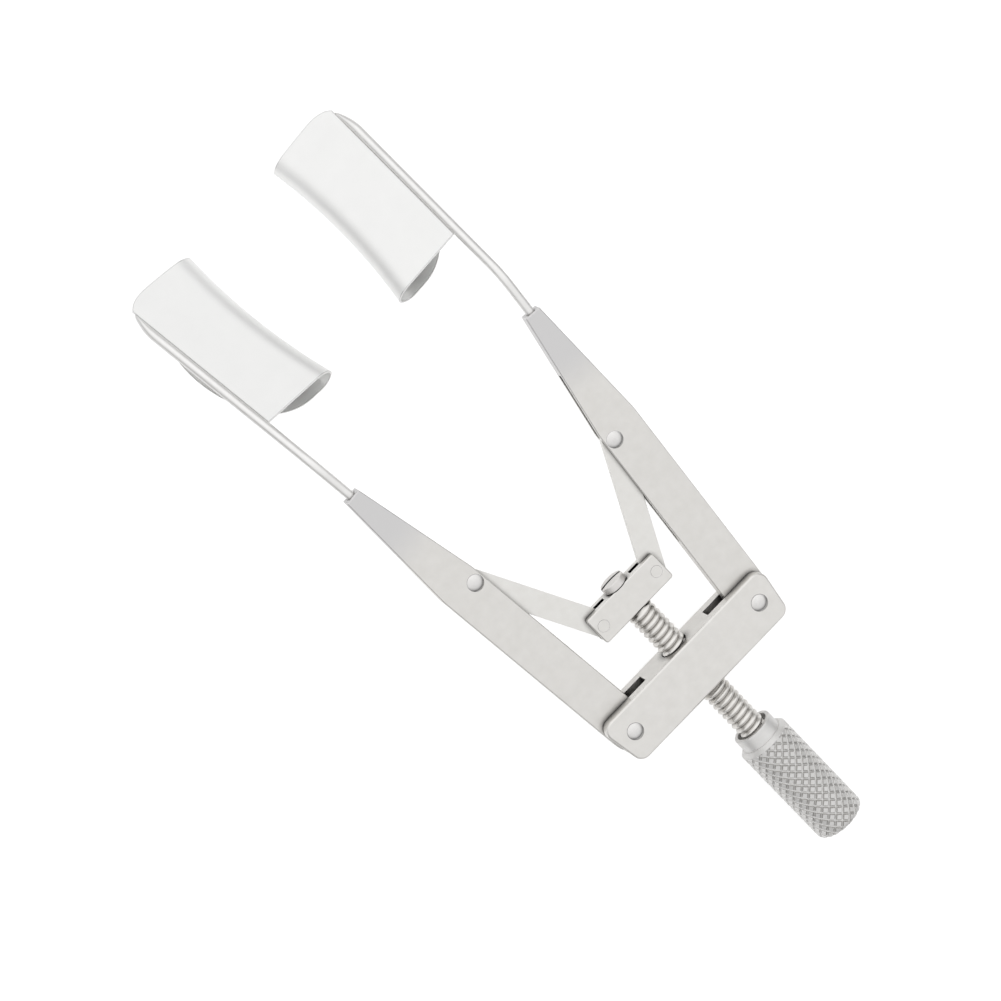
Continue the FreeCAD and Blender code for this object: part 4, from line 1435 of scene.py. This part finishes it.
@dataclass
class Studio:
    """A pale table top under soft light, seen from almost straight above."""

    camera_at: Tuple[float, float, float] = (-41.2815, 145.6897, 388.2411)
    camera_right: Tuple[float, float, float] = (0.6944002, -0.6629182, 0.2799068)
    camera_down: Tuple[float, float, float] = (-0.7131779, -0.6858219, 0.1450021)
    focal_px: float = 4766.139
    picture_px: float = 1001.0
    sensor_mm: float = 36.0
    clip_m: Tuple[float, float] = (0.01, 20.0)
    table_m: float = 1.6
    dome_stops: Tuple[Tuple[float, float], ...] = (
        (0.0, 0.27), (0.14, 0.40), (0.30, 0.74), (0.50, 0.95), (0.80, 1.0)
    )
    card_seen: str = "#CBCBCB"
    card_near: str = "#E8E8E8"
    card_far: str = "#6E6E6E"
    card_glow: float = 0.64
    card_glow_in_metal: float = 0.28
    card_near_m: float = 0.03
    card_far_m: float = 0.12
    dome_strength: float = 1.04
    dome_lean: Tuple[float, float, float] = (0.05, 0.18, 0.0)
    lamp_way: Tuple[float, float, float] = (0.10, 0.85, 0.52)
    lamp_far_m: float = 0.6
    lamp_size_m: float = 0.26
    lamp_watts: float = 0.02

    def camera(self) -> None:
        """Set up the camera at the photograph's viewpoint."""
        data = bpy.data.cameras.new("camera")
        data.sensor_width = self.sensor_mm
        data.lens = self.focal_px * self.sensor_mm / self.picture_px
        data.clip_start, data.clip_end = self.clip_m
        right = Vector(self.camera_right).normalized()
        up = -Vector(self.camera_down)
        up = (up - right * up.dot(right)).normalized()
        turn = Matrix((right, up, right.cross(up))).transposed().to_4x4()
        scale = Matrix.Scale(1.0 / MM, 4)
        place = MECHANISM.matrix @ Matrix.Translation(self.camera_at) @ turn @ scale
        camera = add_object("camera", data)
        camera.matrix_world = place
        bpy.context.scene.camera = camera

    def table_material(self) -> bpy.types.Material:
        """Make the table's white card, white to the eye with the object's soft shadow on it.

        The metal sees it a little dimmer, and dimmer still farther out: a painted pool of light round the
        object, seen only in reflections.

        Returns:
            The card's material.
        """
        made = bpy.data.materials.new("matt_white_card")
        tree = empty_tree(made)
        rays = add_node(tree, "ShaderNodeLightPath")
        place = add_node(tree, "ShaderNodeTexCoord").outputs["Object"]
        out = add_node(tree, "ShaderNodeVectorMath", {"operation": "LENGTH"}, {"0": place})
        farther = add_node(
            tree,
            "ShaderNodeMapRange",
            inputs={
                "Value": out.outputs["Value"],
                "From Min": self.card_near_m,
                "From Max": self.card_far_m,
            },
        )
        in_metal = add_node(
            tree,
            "ShaderNodeMix",
            {"data_type": "RGBA"},
            {
                "0": farther.outputs["Result"],
                "6": linear_colour(self.card_near),
                "7": linear_colour(self.card_far),
            },
        )
        colour = add_node(
            tree,
            "ShaderNodeMix",
            {"data_type": "RGBA"},
            {
                "0": rays.outputs["Is Glossy Ray"],
                "6": linear_colour(self.card_seen),
                "7": in_metal.outputs[2],
            },
        )
        card = add_node(tree, "ShaderNodeBsdfDiffuse", inputs={"Color": colour.outputs[2]})
        direct = add_node(
            tree,
            "ShaderNodeMath",
            {"operation": "MAXIMUM"},
            {"0": rays.outputs["Is Camera Ray"], "1": rays.outputs["Is Transmission Ray"]},
        )
        seen_glow = add_node(
            tree,
            "ShaderNodeMath",
            {"operation": "MULTIPLY"},
            {"0": direct.outputs[0], "1": self.card_glow},
        )
        fading = add_node(
            tree,
            "ShaderNodeMapRange",
            inputs={
                "Value": farther.outputs["Result"], "To Min": self.card_glow_in_metal, "To Max": 0.0
            },
        )
        glow = add_node(
            tree,
            "ShaderNodeMath",
            {"operation": "MULTIPLY_ADD"},
            {
                "0": rays.outputs["Is Glossy Ray"],
                "1": fading.outputs["Result"],
                "2": seen_glow.outputs[0],
            },
        )
        light = add_node(
            tree, "ShaderNodeEmission", inputs={"Color": WHITE, "Strength": glow.outputs[0]}
        )
        both = add_node(
            tree,
            "ShaderNodeAddShader",
            inputs={"0": card.outputs["BSDF"], "1": light.outputs["Emission"]},
        )
        add_node(tree, "ShaderNodeOutputMaterial", inputs={"Surface": both.outputs["Shader"]})
        return made

    def table(self) -> None:
        """Lay the table top under the object."""
        mesh = bmesh.new()
        bmesh.ops.create_grid(mesh, x_segments=4, y_segments=4, size=self.table_m / 2.0)
        data = mesh_data("table_top", mesh)
        table = add_object("table_top", data)
        data.materials.append(self.table_material())

    def sky(self) -> None:
        """Surround the table with a pale dome over a dark horizon, brightest ahead."""
        world = bpy.data.worlds.new("studio")
        bpy.context.scene.world = world
        tree = empty_tree(world)
        way = add_node(tree, "ShaderNodeTexCoord").outputs["Generated"]
        parts = add_node(tree, "ShaderNodeSeparateXYZ", inputs={"Vector": way})
        ramp = add_node(tree, "ShaderNodeValToRGB", inputs={"Fac": parts.outputs["Z"]})
        stops = ramp.color_ramp.elements
        stops[0].position = self.dome_stops[0][0]
        stops[1].position = self.dome_stops[-1][0]
        for position, _ in self.dome_stops[1:-1]:
            stops.new(position)
        for stop, (_, grey) in zip(stops, self.dome_stops):
            stop.color = (grey, grey, grey, 1.0)
        lean = add_node(
            tree, "ShaderNodeVectorMath", {"operation": "DOT_PRODUCT"}, {"0": way, "1": self.dome_lean}
        )
        strength = add_node(
            tree,
            "ShaderNodeMath",
            {"operation": "ADD"},
            {"0": lean.outputs["Value"], "1": self.dome_strength},
        )
        dome = add_node(
            tree,
            "ShaderNodeBackground",
            inputs={"Color": ramp.outputs["Color"], "Strength": strength.outputs[0]},
        )
        white = add_node(tree, "ShaderNodeBackground", inputs={"Color": WHITE, "Strength": 1.0})
        rays = add_node(tree, "ShaderNodeLightPath")
        mixed = add_node(
            tree,
            "ShaderNodeMixShader",
            inputs={
                "0": rays.outputs["Is Camera Ray"],
                "1": dome.outputs["Background"],
                "2": white.outputs["Background"],
            },
        )
        add_node(tree, "ShaderNodeOutputWorld", inputs={"Surface": mixed.outputs["Shader"]})

    def lamp(self, name: str, place: Vector, size_m: float, watts: float) -> None:
        """Hang a soft box that points at the object.

        Args:
            name: The lamp's name.
            place: Its place in metres.
            size_m: Its width and height.
            watts: Its power.
        """
        data = bpy.data.lights.new(name, "AREA")
        data.shape = "SQUARE"
        data.size = size_m
        data.energy = watts
        lamp = add_object(name, data)
        lamp.matrix_world = (
            Matrix.Translation(place) @ (-place).to_track_quat("-Z", "Y").to_matrix().to_4x4()
        )

    def build(self) -> None:
        """Set up the camera, the table and the light."""
        self.camera()
        self.table()
        self.sky()
        place = Vector(self.lamp_way).normalized() * self.lamp_far_m
        self.lamp("key_softbox", place, self.lamp_size_m, self.lamp_watts)
        bpy.context.scene.view_settings.view_transform = "Standard"


def main() -> None:
    """Dress the instrument and set the studio."""
    logging.basicConfig(level=logging.INFO)
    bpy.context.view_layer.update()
    for group in (Frameplates(), Rivets(), DriveScrew(), Knob(), RetainingScrew(), Wires(), Blades()):
        LOG.info("building %s", type(group).__name__)
        group.build()
    Studio().build()


if __name__ == "__main__":
    main()
